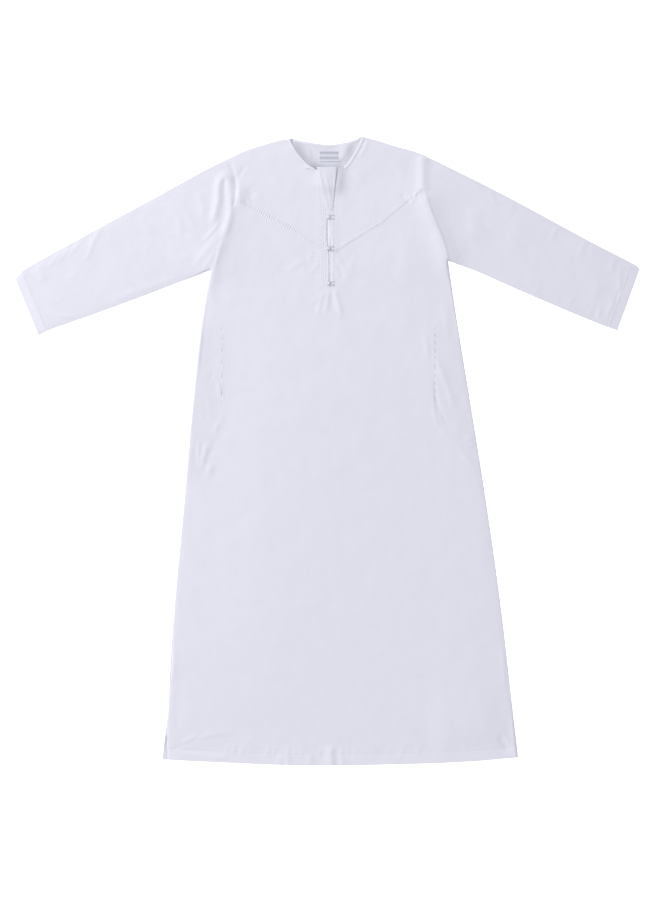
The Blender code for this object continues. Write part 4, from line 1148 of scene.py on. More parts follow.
def cut_out(piece: bpy.types.Object, low: Point, high: Point) -> None:
    """Cuts an upright rectangle out of an open shell.

    Args:
        piece: the shell's object.
        low: its lower left corner.
        high: its upper right corner.
    """
    shape = bmesh.new()
    shape.from_mesh(piece.data)
    margin = 0.02
    for place, normal in (
        ((low[0], 0, 0), (1, 0, 0)), ((high[0], 0, 0), (1, 0, 0)),
        ((0, low[1], 0), (0, 1, 0)), ((0, high[1], 0), (0, 1, 0)),
    ):
        near = [
            face for face in shape.faces
            if low[0] - margin < face.calc_center_median().x < high[0] + margin
            and low[1] - margin < face.calc_center_median().y < high[1] + margin
        ]
        parts = near + list({e for f in near for e in f.edges}) + list({v for f in near for v in f.verts})
        bmesh.ops.bisect_plane(shape, geom=parts, dist=1e-6, plane_co=place, plane_no=normal)
    inside = [
        face for face in shape.faces
        if low[0] < face.calc_center_median().x < high[0]
        and low[1] < face.calc_center_median().y < high[1]
    ]
    bmesh.ops.delete(shape, geom=inside, context="FACES")
    shape.to_mesh(piece.data)
    shape.free()


def with_heights(plan: Array, heights: Heights) -> Array:
    """Points in the round from points in plan, with a height for each."""
    return np.concatenate([plan, over(plan, heights)[..., None]], axis=-1)


def polygon_area(outline: Array) -> float:
    """Area inside a closed line of points."""
    x, y = outline[:, 0], outline[:, 1]
    return float(abs(np.dot(x, np.roll(y, -1)) - np.dot(y, np.roll(x, -1))) / 2)


def patch_area(plan: Array) -> float:
    """Flat area of a panel from its grid of points in plan."""
    outline = np.concatenate([plan[0], plan[1:, -1], plan[-1, -2::-1], plan[-2:0:-1, 0]])
    return polygon_area(outline)


def settle(piece: bpy.types.Object, node: str) -> bpy.types.Object:
    """Lets a piece ride on the robe and stand for its solid, which it hides."""
    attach(piece, "root")
    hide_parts(node)
    LOG.info("%s stands for %s", piece.name, node)
    return piece


def declare(
    piece: bpy.types.Object, width: float, length: float, area: float, rests_on: Sequence[str],
) -> None:
    """Takes the flat cut of a piece of cloth, whose rectangle is a little over its own size, and does
    nothing with it.
    """
    list(rests_on)


@dataclass
class Body:
    """The back and front panels and the pocket bags."""

    finishes: Wardrobe
    side_share: float = 0.84
    hem_tone: float = 0.88
    cloth_tone: float = 0.82
    pocket_tone: float = 0.74
    # painted shade: the lower tone of the back seen inside the neck opening
    painted_neck_shade_tone: float = 0.70
    cut_back: tuple[float, float] = (0.82, 1.43)
    cut_front: tuple[float, float] = (0.80, 1.30)
    bag_length: float = 0.32

    def back(self) -> bpy.types.Object:
        """The back panel, flat on the floor from the hem to the shoulders."""
        inwards = 0.0009
        left = Chain(
            (Moved(SIDE_LEFT, x=inwards), self.side_share * 0.90),
            (Moved(ARMHOLE_LOW_LEFT, x=inwards), 0.90), (Moved(ARMHOLE_HIGH_LEFT, x=inwards), 1.0),
        )
        right = Chain(
            (Moved(SIDE_RIGHT, x=-inwards), self.side_share * 0.90),
            (Moved(ARMHOLE_LOW_RIGHT, x=-inwards), 0.90), (Moved(ARMHOLE_HIGH_RIGHT, x=-inwards), 1.0),
        )
        top = Chain(
            (Moved(SHOULDER_LEFT, y=-inwards), 0.3), (NECK_BACK, 0.7),
            (Moved(SHOULDER_RIGHT, y=-inwards), 1.0),
        )
        columns = edged(refined((0.0, 0.3, 26), (0.3, 0.7, 60), (0.7, 1.0, 26)), 0.002, 0.002)
        rows = edged(refined((0.0, 0.05, 10), (0.05, 0.90, 60), (0.90, 1.0, 50)), 0.001, 0.002)
        plan = Patch(HEM_BACK, top, left, right).at(columns[None, :], rows[:, None])
        points = with_heights(plan, self.back_heights)
        piece = Shell("back_cloth", points, plan, self.back_tone(plan)).made(self.finishes.poplin)
        declare(piece, *self.cut_back, patch_area(plan), ["floor"])
        return settle(piece, "back_panel")

    def back_tone(self, plan: Array) -> Array:
        """How pale the back is: paler on its hem, with painted shade inside the neck beside both edges.

        Args:
            plan: the grid's points in plan.

        Returns:
            The tone at each point of the grid.
        """
        def from_neck(edge: Edge) -> Array:
            line = edge.at(np.linspace(0.0, 1.0, 30))
            return over(plan, lambda points: nearest(points, line).away)

        tone = self.cloth_tone + (self.hem_tone - self.cloth_tone) * over(plan, DRAPE.hem_share)
        # Painted shade: the back inside the neck is darker. It is darkest in a band along the left neck
        # edge, where the front's edge shades it, and in a narrower band a little inside the right edge.
        inside = smooth((plan[..., 1] - 0.60) / 0.03) * smooth((0.12 - np.abs(plan[..., 0])) / 0.03)
        painted_neck_shadow = 0.66 * np.exp(-((from_neck(NECK_LEFT) / 0.015) ** 2))
        painted_neck_shadow += 0.30 * np.exp(-(((from_neck(NECK_RIGHT) - 0.014) / 0.007) ** 2))
        return tone + (self.painted_neck_shade_tone - self.cloth_tone - painted_neck_shadow) * inside

    def back_heights(self, points: Array) -> Array:
        """Upper side of the back, raised in slack folds inside the neck and in the vents."""
        height = np.full(len(points), FABRIC + 0.0001)
        for fold in (
            Fold(((-0.083, 0.702), (-0.069, 0.671), (-0.044, 0.644), (-0.024, 0.630)),
                 0.0034, 0.015, 0.004, start=0.2, end=0.25),
            Fold(((-0.043, 0.686), (-0.041, 0.672), (-0.036, 0.658)), 0.0005, 0.004, 0.004),
            Fold(((0.0460, 0.700), (0.0420, 0.678), (0.0380, 0.648)), 0.0030, 0.013, 0.016),
            Fold(((-0.3662, -0.630), (-0.3692, -0.665), (-0.3715, -0.702)),
                 0.0050, 0.0045, 0.0025, end=0.05),
            Fold(((0.4230, -0.600), (0.4270, -0.645), (0.4310, -0.694)), 0.0014, 0.0020, 0.0090, end=0.05),
        ):
            height += fold.heights(points)
        return height

    def front(self) -> bpy.types.Object:
        """The front, from the hem up to the V of the yoke seams, with its slit and pocket mouths."""
        left = Chain((VENTED_LEFT, self.side_share), (ARMHOLE_LOW_LEFT, 1.0))
        right = Chain((VENTED_RIGHT, self.side_share), (ARMHOLE_LOW_RIGHT, 1.0))
        top = Chain((YOKE_SEAM_LEFT, 0.48), (straight(V_LEFT, V_RIGHT), 0.52), (YOKE_SEAM_RIGHT, 1.0))
        columns = edged(refined((0.0, 0.16, 40), (0.16, 0.46, 50), (0.46, 0.54, 18), (0.54, 0.84, 50),
                                (0.84, 1.0, 40)), 0.0016, 0.0016)
        rows = edged(refined((0.0, 0.05, 18), (0.05, 0.50, 60), (0.50, 0.84, 82), (0.84, 1.0, 62)),
                     0.0008, 0.002)
        plan = Patch(HEM_FRONT, top, left, right).at(columns[None, :], rows[:, None])
        points = with_heights(plan, DRAPE.top)
        tone = self.cloth_tone + (self.hem_tone - self.cloth_tone) * over(plan, DRAPE.hem_share)
        tone += (self.pocket_tone - self.cloth_tone) * over(plan, DRAPE.pocket_share)
        piece = Shell("front_cloth", points, plan, tone).made(self.finishes.poplin)
        cut_out(piece, (SLIT_LEFT, SLIT_BOTTOM), (SLIT_RIGHT, 0.47))
        for edge in (POCKET_LEFT, POCKET_RIGHT):
            middle = float(x_on(edge, np.array([(MOUTH_TOP + MOUTH_BOTTOM) / 2]))[0])
            cut_out(piece, (middle - MOUTH_GAP / 2, MOUTH_BOTTOM), (middle + MOUTH_GAP / 2, MOUTH_TOP))
        declare(piece, *self.cut_front, patch_area(plan), ["back_cloth"])
        return settle(piece, "front_panel")

    def pocket_bag(self, name: str, node: str, edge: Edge, side: Edge, outwards: float) -> bpy.types.Object:
        """A pocket bag between the layers, folded at the side seam and open at its mouth."""
        low, high = WALL + SEAM, BAG_TOP
        shares = np.array((0.0, 0.2, 0.4, 0.6, 0.8, 0.94, 0.98))
        turn = np.linspace(-0.5, 0.5, 7)[1:-1] * math.pi
        across = np.concatenate([shares, 0.98 + 0.02 * np.cos(turn), shares[::-1]])
        middle, half = (low + high) / 2, (high - low) / 2
        level = np.concatenate([np.full(7, low), middle + half * np.sin(turn), np.full(7, high)])
        y = np.linspace(-0.035, 0.285, 60)
        start = x_on(edge, y) + 0.003 * outwards
        end = x_on(Edge(*[tuple(p) for p in side.points[::-1]]), y) - 0.003 * outwards
        x = start[:, None] + (end - start)[:, None] * across[None, :]
        plan = np.stack([x, np.broadcast_to(y[:, None], x.shape)], axis=-1)
        points = np.concatenate([plan, np.broadcast_to(level, x.shape)[..., None]], axis=-1)
        shell = Shell(name, points, plan, np.full(x.shape, self.cloth_tone), seams=False)
        piece = shell.made(self.finishes.poplin)
        area = 2 * float(np.abs(end - start).mean()) * self.bag_length
        declare(piece, 0.16, 0.34, area, ["back_cloth"])
        return settle(piece, node)

    def build(self) -> None:
        """Builds the body's pieces."""
        self.back()
        self.front()
        self.pocket_bag("pocket_bag_cloth_left", "pocket_bag_left", POCKET_LEFT, SIDE_LEFT, -1.0)
        self.pocket_bag("pocket_bag_cloth_right", "pocket_bag_right", POCKET_RIGHT, SIDE_RIGHT, 1.0)


@dataclass
class Yoke:
    """The two pieces of the V yoke."""

    finishes: Wardrobe
    lap: float = 0.0022
    lap_rise: float = 0.0005
    lap_reach: float = 0.011
    seam_to_neck: float = 0.60
    neck_corner: float = 0.66
    tone: float = 0.82

    def heights(self, seam: Line) -> Heights:
        """Heights of a yoke piece, raised along its seam by the turning under it.

        Args:
            seam: the seam's line. The right one flattens out on its way to the armhole.

        Returns:
            The heights, as a function of the points.
        """
        line = seam.at(np.linspace(0.0, 1.0, 40))
        flatter = 0.15 if seam is YOKE_SEAM_RIGHT else 1.0

        def at(points: Array) -> Array:
            found = nearest(points, line)
            rise = self.lap_rise * np.interp(found.share, (0.30, 0.45), (1.0, flatter))
            return DRAPE.top(points) + rise * (1 - smooth(found.away / self.lap_reach) * 0.7)

        return at

    def piece(self, name: str, node: str, patch: Patch, seam: Line) -> bpy.types.Object:
        """One piece of the yoke."""
        columns = edged(refined((0.0, 1.0, 110)), 0.003, 0.003)
        rows = edged(refined((0.0, 0.15, 16), (0.15, 0.60, 40), (0.60, 1.0, 44)), 0.004, 0.006)
        plan = patch.at(columns[None, :], rows[:, None])
        points = with_heights(plan, self.heights(seam))
        piece = Shell(name, points, plan, np.full(plan.shape[:2], self.tone)).made(self.finishes.poplin)
        declare(piece, 0.25, 0.28, patch_area(plan), ["back_cloth", "front_cloth"])
        return settle(piece, node)

    def build(self) -> None:
        """Builds both pieces."""
        left_inner = Chain(
            (straight((SLIT_LEFT, V_LEFT[1] - self.lap), (SLIT_LEFT, NECK_LEFT_END[1])), self.seam_to_neck),
            (straight((SLIT_LEFT, NECK_LEFT_END[1]), NECK_LEFT_END), self.neck_corner),
            (Turned(NECK_LEFT), 1.0),
        )
        right_inner = Chain(
            (straight((SLIT_RIGHT, V_RIGHT[1] - self.lap), (SLIT_RIGHT, STRIP_TOP)), self.seam_to_neck),
            (straight((SLIT_RIGHT, STRIP_TOP), NECK_RIGHT_END), self.neck_corner),
            (NECK_RIGHT, 1.0),
        )
        left = Patch(Moved(YOKE_SEAM_LEFT, y=-self.lap), SHOULDER_LEFT, ARMHOLE_HIGH_LEFT, left_inner)
        right = Patch(Moved(YOKE_SEAM_RIGHT, y=-self.lap), SHOULDER_RIGHT, right_inner, ARMHOLE_HIGH_RIGHT)
        self.piece("yoke_cloth_left", "yoke_left", left, YOKE_SEAM_LEFT)
        self.piece("yoke_cloth_right", "yoke_right", right, YOKE_SEAM_RIGHT)


@dataclass
class Sleeve:
    """A sleeve, one piece folded along its upper edge and sewn under the arm."""

    finishes: Wardrobe
    side: str
    cuff: Edge
    over: Edge
    under: Edge
    low: Edge
    high: Edge
    cuff_tone: float
    cuff_rise: float
    columns: int = 96
    floor_columns: int = 13
    edge_radius: float = 0.0011
    cuff_width: float = 0.022
    tone: float = 0.82

    def plan_at(self) -> Patch:
        """The sleeve's shape in plan, from the cuff inwards and from the upper fold down."""
        armhole = Chain((Turned(self.high), 0.36), (Turned(self.low), 1.0))
        return Patch(self.cuff, armhole, self.over, self.under)

    def cuff_share(self, points: Array) -> Array:
        """1 over the turned cuff, 0 past its stitches."""
        line = self.cuff.at(np.linspace(-0.2, 1.2, 8))
        away = nearest(points, line).away
        return 1.0 - smooth((away - self.cuff_width + 0.0012) / 0.0024)

    def build(self) -> bpy.types.Object:
        """Builds the sleeve as a closed ring of grid columns, flattened on the floor."""
        rows = edged(refined((0.0, 0.06, 18), (0.06, 0.62, 86), (0.62, 1.0, 84)), 0.0010, 0.0)[:, None]
        patch = self.plan_at()
        width = np.linalg.norm(patch.at(np.array(1.0), rows) - patch.at(np.array(0.0), rows), axis=-1)
        edge = self.edge_radius / width
        turn = np.linspace(0.0, math.pi, 9)
        inner = edge + (1 - 2 * edge) * np.linspace(0.0, 1.0, self.columns + 1)[None, :]
        bottom = edge + (1 - 2 * edge) * np.linspace(1.0, 0.0, self.floor_columns)[None, :]
        far = 1 - edge * (1 - np.sin(turn[1:-1]))[None, :]
        near = edge * (1 - np.sin(turn[1:-1]))[None, :]
        across = np.concatenate([inner, far, bottom, near, inner[:, :1]], axis=1)
        plan = patch.at(across, np.broadcast_to(rows, across.shape))
        cuffed = over(plan, self.cuff_share)
        top = over(plan, DRAPE.top) + self.cuff_rise * cuffed
        ledge = 2 * WALL + SEAM + 0.0002
        count, sides, floor = self.columns + 1, len(turn) - 2, self.floor_columns
        top[:, :count] = np.maximum(top[:, :count], ledge)
        height = np.zeros(across.shape)
        height[:, :count] = top[:, :count]
        last = top[:, count - 1 : count]
        first = top[:, :1]
        fall = (1 + np.cos(turn[1:-1]))[None, :] / 2
        height[:, count : count + sides] = last * fall
        height[:, count + sides + floor : -1] = first * fall[:, ::-1]
        height[:, -1] = first[:, 0]
        points = np.concatenate([plan, height[..., None]], axis=-1)
        tone = self.tone + (self.cuff_tone - self.tone) * cuffed
        cloth = self.cloth_map(across, rows, width)
        shell = Shell(f"sleeve_cloth_{self.side}", points, cloth, tone, Closing.ROUND)
        piece = shell.made(self.finishes.poplin)
        declare(piece, 0.56, 0.60, 2 * patch_area(plan[:, : self.columns + 1]), ["floor"])
        return settle(piece, f"sleeve_{self.side}")

    def cloth_map(self, across: Array, rows: Array, width: Array) -> Array:
        """The sleeve's own map in metres, with its threads along the arm."""
        u = across * width
        v = np.broadcast_to(rows * self.over.stations[-1], across.shape)
        return np.stack([u, v], axis=-1)


@dataclass
class Neck:
    """The bound neckline and the bare label inside it."""

    finishes: Wardrobe
    width: float = 0.0055
    right_width: float = 0.0068
    rise: float = 0.0004
    back_rise: float = 0.0012
    tone: float = 0.88
    label_low: Point = (-0.018, 0.654)
    label_high: Point = (0.030, 0.677)

    def binding(
        self, name: str, node: str, edge: Edge, start: float, end: float, width: float, base: Heights,
    ) -> None:
        """A folded strip that rolls over a neck edge.

        Args:
            name: the piece's name.
            node: the solid that it stands for.
            edge: the neckline under it.
            start: share of the edge at which it starts.
            end: share at which it ends.
            width: how far it reaches from the edge.
            base: heights of its flat upper side.
        """
        shares = np.array((-0.16, -0.12, 0.0, 0.16, 0.40, 0.66, 0.86, 0.97, 1.0))
        drops = np.array((-0.0010, -0.0003, 0.0, 0.0002, 0.0003, 0.0002, 0.0001, -0.0002, -0.0004))
        along = np.linspace(0.0, 1.0, 90)
        plan = np.stack(
            [Beside(edge, -width * share, start, end).at(along) for share in shares], axis=1
        )
        points = with_heights(plan, base)
        points[..., 2] += drops[None, :]
        cloth = np.stack(np.broadcast_arrays(shares[None, :] * width, along[:, None] * 0.11), axis=-1)
        shell = Shell(name, points, cloth, np.full(plan.shape[:2], self.tone))
        piece = shell.made(self.finishes.poplin)
        length = float(np.linalg.norm(np.diff(plan[:, 4], axis=0), axis=1).sum())
        declare(piece, 0.02, length * 1.05, length * 0.0072, ["yoke_cloth_left"])
        settle(piece, node)

    def label(self) -> None:
        """The bare woven label, with a fold at each end."""
        low, high = self.label_low, self.label_high
        x, y = np.linspace(low[0], high[0], 41), np.linspace(low[1], high[1], 21)
        plan = np.stack(np.meshgrid(x, y), axis=-1)
        from_side = np.minimum(plan[..., 0] - low[0], high[0] - plan[..., 0])
        from_end = np.minimum(plan[..., 1] - low[1], high[1] - plan[..., 1])
        border = np.exp(-(((np.minimum(from_side, from_end) - 0.0012) / 0.0007) ** 2))
        height = 0.0015 + 0.0002 * border + 0.0003 * np.sin((plan[..., 0] - low[0]) * 90)
        slack = Fold(((0.0200, 0.690), (0.0220, 0.664), (0.0230, 0.640)), 0.0006, 0.010, 0.010)
        height += over(plan, slack.heights)
        points = np.concatenate([plan, height[..., None]], axis=-1)
        shell = Shell("label_tape", points, plan, np.full(border.shape, 0.5), seams=False)
        piece = shell.made(self.finishes.tape)
        declare(piece, 0.050, 0.025, 0.048 * 0.023, ["back_cloth"])
        settle(piece, "woven_label")

    def build(self) -> None:
        """Builds the bindings and the label."""
        def raised(points: Array) -> Array:
            return DRAPE.top(points) + self.rise

        def on_back(points: Array) -> Array:
            return np.full(len(points), self.back_rise)

        self.binding("neck_binding_left", "binding_left", NECK_LEFT, 0.02, 0.96, self.width, raised)
        self.binding("neck_binding_right", "binding_right", NECK_RIGHT, 0.02, 0.98, self.right_width, raised)
        self.binding("neck_binding_back", "binding_back", NECK_BACK, 0.05, 0.95, self.width, on_back)
        self.label()


@dataclass
class Placket:
    """The slit's two strips, the open flap and the underlap."""

    finishes: Wardrobe
    rise: float = 0.0003
    flap_low: float = 0.0012
    flap_high: float = 0.0026
    # painted shade on the open flap, which offsets the light its tilted surface catches
    flap_painted_shade: float = 0.30
    flap_foot: float = 0.549
    flap_reach: float = 0.085
    taper: float = 0.006
    tone: float = 0.87

    def base(self, points: Array) -> Array:
        """Upper side of a strip that lies on the front, flush with it at the bottom end."""
        flat = 1.0 - smooth((points[:, 1] - STRIP_BOTTOM) / self.taper)
        return DRAPE.top(points) + self.rise * (1.0 - flat)

    def flap_heights(self, points: Array) -> Array:
        """The left strip lies flat, and above the top knot it stands up as an open flap.

        Args:
            points: x and y of each point, one a row.

        Returns:
            The heights of its upper side, in metres.
        """
        rising = smooth((points[:, 1] - self.flap_foot) / self.flap_reach)
        lift = self.flap_low + (self.flap_high - self.flap_low) * rising
        height = self.base(points) + lift * self.flap_share(points)
        for fold in (
            Fold(((-0.0034, 0.6280), (0.0030, 0.5900), (0.0085, 0.5560)), 0.0006, 0.0025, 0.0030),
            Fold(((0.0120, 0.6340), (0.0120, 0.6050), (0.0120, 0.5700)), -0.0005, 0.0030, 0.0030),
            Fold(((-0.0140, 0.6400), (-0.0100, 0.6160), (-0.0020, 0.5900)), -0.0005, 0.0030, 0.0030),
        ):
            height += fold.heights(points)
        return height

    def flap_share(self, points: Array) -> Array:
        """0 up to the open flap's root, rising to 1 at its free edge."""
        x, y = points[:, 0], points[:, 1]
        root = x_on(Edge((-0.0262, 0.645), (-0.0222, 0.617), (-0.0020, 0.549)), y)
        free_edge = Edge((0.0212, 0.645), (0.0160, 0.590), (0.0142, 0.567), (0.0124, 0.549),
                         (0.0102, 0.533))
        free = x_on(free_edge, y)
        past = np.clip((x - root) / (free - root), 0.0, 1.0)
        return past * smooth((y - self.flap_foot + 0.012) / 0.014)

    def build(self) -> None:
        """Builds the strips, the flap and the underlap."""
        outer = Edge((-0.0165, STRIP_BOTTOM), (-0.0168, 0.520), (-0.0172, 0.600), (-0.0205, 0.626),
                     (-0.0245, 0.641))
        inner = Chain(
            (Edge((0.0032, STRIP_BOTTOM), (0.0032, 0.436), (-0.0008, 0.474), (-0.0012, 0.526)), 0.58),
            (straight((-0.0012, 0.526), (0.0104, 0.535)), 0.61),
            (Edge((0.0104, 0.535), (0.0124, 0.549), (0.0142, 0.567), (0.0160, 0.590), (0.0212, 0.640)), 1.0),
        )
        left = Patch(straight((-0.0165, STRIP_BOTTOM), (0.0032, STRIP_BOTTOM)),
                     straight((-0.0245, 0.641), (0.0212, 0.640)), outer, inner)
        right = Patch(
            straight((0.0075, STRIP_BOTTOM), (0.0165, STRIP_BOTTOM)),
            straight((0.0030, STRIP_TOP), (0.0175, STRIP_TOP)),
            Edge((0.0080, STRIP_BOTTOM), (0.0082, 0.420), (0.0078, 0.470), (0.0050, 0.487), (0.0020, 0.503),
                 (0.0012, 0.530), (0.0030, STRIP_TOP)),
            straight((0.0165, STRIP_BOTTOM), (0.0175, STRIP_TOP)),
        )
        low_left, low_right = (-0.0105, 0.3645), (0.0135, 0.3645)
        high_left, high_right = (-0.0105, 0.633), (0.0135, 0.633)
        under = Patch(straight(low_left, low_right), straight(high_left, high_right),
                      straight(low_left, high_left), straight(low_right, high_right))
        for name, node, patch, heights, across, width in (
            ("placket_cloth_left", "placket_left", left, self.flap_heights, 30, 0.05),
            ("placket_cloth_right", "placket_right", right, self.base, 14, 0.02),
            ("underlap_cloth", "underlap", under, self.underlap_heights, 20, 0.026),
        ):
            columns = edged(np.linspace(0.0, 1.0, across + 1), 0.02, 0.02)
            rows = edged(np.linspace(0.0, 1.0, 151), 0.001, 0.001)
            plan = patch.at(columns[None, :], rows[:, None])
            points = with_heights(plan, heights)
            points[..., 2] -= 0.0005 * np.exp(-((np.minimum(columns, 1 - columns) * across / 1.2) ** 2))
            tone = np.full(plan.shape[:2], self.tone)
            # Painted shade: the left strip's tone is lowered from a little past the flap's root out to its
            # free edge.
            if patch is left:
                tone -= self.flap_painted_shade * smooth(4 * over(plan, self.flap_share))
            piece = Shell(name, points, plan, tone).made(self.finishes.poplin)
            declare(piece, width, 0.28, patch_area(plan), ["front_cloth"])
            settle(piece, node)

    def underlap_heights(self, points: Array) -> Array:
        """The underlap lies on the back, with a slack fold that shows inside the slit."""
        height = np.full(len(points), 0.0030)
        sliver = Fold(((0.0036, 0.510), (0.0042, 0.470), (0.0060, 0.430), (0.0062, 0.386)),
                      0.0010, 0.0016, 0.0016, start=0.1, end=0.1)
        return height + sliver.heights(points)


@dataclass
class Closures:
    """The three cloth knots and their corded loops."""

    finishes: Wardrobe
    places: tuple[Point, ...] = ((0.0015, 0.5290), (0.0018, 0.4580), (0.0020, 0.3790))
    knot_radius: float = 0.0042
    flatness: float = 0.25
    cord_radius: float = 0.0009
    loop_radius: float = 0.0046
    loop_cord: float = 0.0008
    loop_end: float = 0.0120

    def tube(self, name: str, path: Array, radius: float, closed: bool) -> bpy.types.Mesh:
        """A round cord along a path, as a mesh."""
        curve = bpy.data.curves.new(name, "CURVE")
        curve.dimensions = "3D"
        curve.bevel_depth = radius
        curve.bevel_resolution = 3
        curve.use_fill_caps = not closed
        line = curve.splines.new("POLY")
        line.points.add(len(path) - 1)
        for point, place in zip(line.points, path):
            point.co = (*place, 1.0)
        line.use_cyclic_u = closed
        carrier = in_scene(name, curve)
        bpy.context.view_layer.update()
        ready = carrier.evaluated_get(bpy.context.evaluated_depsgraph_get())
        mesh = bpy.data.meshes.new_from_object(ready)
        bpy.data.objects.remove(carrier)
        shape = bmesh.new()
        shape.from_mesh(mesh)
        bmesh.ops.remove_doubles(shape, verts=shape.verts, dist=1e-6)
        bmesh.ops.recalc_face_normals(shape, faces=shape.faces)
        shape.to_mesh(mesh)
        shape.free()
        mesh.name = name
        mesh.shade_smooth()
        mesh.materials.clear()
        mesh.materials.append(self.finishes.cord)
        return mesh

    def knot(self, number: int, centre: Vector) -> None:
        """A ball knot: one cord that goes twice round and weaves over and under itself."""
        turns = np.linspace(0.0, 2 * math.pi, 150, endpoint=False)
        round_it, up = 2 * turns + number, 0.92 * np.sin(3 * turns)
        radius = self.knot_radius - self.cord_radius + 0.0003 * np.cos(6 * turns)
        path = np.stack([
            centre.x + radius * np.cos(up) * np.cos(round_it),
            centre.y + radius * np.sin(up),
            centre.z + radius * np.cos(up) * np.sin(round_it) * self.flatness,
        ], axis=1)
        mesh = self.tube(f"knot_{number}", path, self.cord_radius, True)
        shape = bmesh.new()
        shape.from_mesh(mesh)
        bmesh.ops.create_uvsphere(
            shape, u_segments=16, v_segments=10, radius=self.knot_radius - self.cord_radius,
            matrix=Matrix.Translation(centre) @ Matrix.Diagonal((1.0, 1.0, self.flatness, 1.0)),
        )
        shape.to_mesh(mesh)
        shape.free()
        mesh.shade_smooth()
        piece = in_scene(f"knot_{number}", mesh)
        settle(piece, f"button_{number}")

    def loop(self, number: int, x: float, y: float, height: float) -> None:
        """A corded loop, sewn down on the right strip and passed round the knot."""
        turn = np.linspace(0.5 * math.pi, 1.5 * math.pi, 24)
        tail = np.linspace(1.0, 0.0, 8)[:, None]
        upper = np.array([x, y + self.loop_radius]) + tail * np.array([self.loop_end, -0.0010])
        lower = np.array([x, y - self.loop_radius]) + tail[::-1] * np.array([self.loop_end, 0.0010])
        ring = np.stack([x + self.loop_radius * np.cos(turn), y + self.loop_radius * np.sin(turn)], axis=1)
        plan = np.concatenate([upper[:-1], ring, lower[1:]])
        share = np.linspace(0.0, 1.0, len(plan))
        level = height + self.loop_cord + 0.0006 * np.sin(math.pi * share) - 0.0006
        mesh = self.tube(f"loop_cord_{number}", np.column_stack([plan, level]), self.loop_cord, False)
        piece = in_scene(f"loop_cord_{number}", mesh)
        settle(piece, f"loop_{number}")

    def build(self) -> None:
        """Builds the three knots and loops."""
        for number, (x, y) in enumerate(self.places, start=1):
            low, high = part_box(f"button_{number}")
            centre = (Vector(low) + Vector(high)) / 2
            centre.z = low[2] + self.cord_radius + self.flatness * (self.knot_radius - self.cord_radius)
            self.knot(number, centre)
            self.loop(number, x, y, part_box(f"loop_{number}")[0][2])


@dataclass
class Stitching:
    """Rows of machine stitches."""

    finishes: Wardrobe
    pitch: float = 0.0030
    length: float = 0.0024
    width: float = 0.00042
    rise: float = 0.00012
    lap: float = 0.0004

    def row(self, line: Line, heights: Heights) -> Array:
        """The places of one row's stitches: x, y, height, and direction in plan."""
        fine = line.at(np.linspace(0.0, 1.0, 600))
        runs = np.linalg.norm(np.diff(fine, axis=0), axis=1)
        stations = np.concatenate([[0.0], np.cumsum(runs)])
        count = max(int(stations[-1] / self.pitch), 1)
        at = (np.arange(count) + 0.5) * stations[-1] / count
        plan = np.stack([np.interp(at, stations, fine[:, k]) for k in range(2)], axis=1)
        ahead = np.stack([np.interp(at + 0.0006, stations, fine[:, k]) for k in range(2)], axis=1)
        along = ahead - plan
        along /= np.maximum(np.linalg.norm(along, axis=1, keepdims=True), 1e-9)
        return np.column_stack([plan, heights(plan) + self.rise, along])

    def joined(self, name: str, rows: Sequence[Array]) -> None:
        """Makes one piece of all the stitches in some rows."""
        places = np.concatenate(rows)
        size = Matrix.Diagonal((self.length, self.width, self.width * 0.8, 1.0))
        shape = bmesh.new()
        for x, y, z, cosine, sine in places.tolist():
            turned = Matrix.Rotation(math.atan2(sine, cosine), 4, "Z")
            bmesh.ops.create_cube(shape, size=1.0, matrix=Matrix.Translation((x, y, z)) @ turned @ size)
        bmesh.ops.bevel(shape, geom=shape.edges, offset=0.25 * self.width, segments=1, profile=0.5,
                        affect="EDGES", material=-1)
        mesh = bpy.data.meshes.new(name)
        shape.to_mesh(mesh)
        shape.free()
        mesh.shade_smooth()
        mesh.materials.append(self.finishes.thread)
        piece = in_scene(name, mesh)
        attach(piece, "root")
        LOG.info("%s has %d stitches", name, len(places))

    def build(self) -> None:
        """Sews the neck, the placket, the yoke, the cuffs and the hem."""
        top = DRAPE.top
        placket = Placket(self.finishes)
        on_strip, on_right = placket.flap_heights, placket.base

        def lapped(points: Array) -> Array:
            return top(points) + self.lap

        self.joined("neck_stitches", [
            self.row(Beside(NECK_LEFT, -0.0072, 0.02, 0.96), top),
            self.row(Beside(NECK_LEFT, -0.0044, 0.02, 0.96), lapped),
            self.row(Beside(NECK_RIGHT, -0.0072, 0.02, 0.98), top),
            self.row(Beside(NECK_RIGHT, -0.0044, 0.02, 0.98), lapped),
        ])
        self.joined("placket_stitches", [
            self.row(straight((-0.0150, 0.371), (-0.0150, 0.575)), on_strip),
            self.row(straight((-0.0100, 0.371), (-0.0102, 0.560)), on_strip),
            self.row(straight((-0.0046, 0.371), (-0.0046, 0.550)), on_strip),
            self.row(straight((0.0128, 0.371), (0.0132, 0.635)), on_right),
        ])
        self.joined("yoke_stitches", [
            self.row(Moved(YOKE_SEAM_LEFT, y=0.0015), lapped),
            self.row(Moved(YOKE_SEAM_RIGHT, y=0.0015), lapped),
        ])
        self.joined("hem_stitches", [self.row(Moved(HEM_FRONT, y=HEM_WIDTH - 0.0032), top)])
        self.joined("cuff_stitches", [
            self.row(Beside(CUFF_LEFT, 0.0205, 0.02, 0.98), lapped),
            self.row(Beside(CUFF_RIGHT, -0.0205, 0.02, 0.98), lapped),
        ])


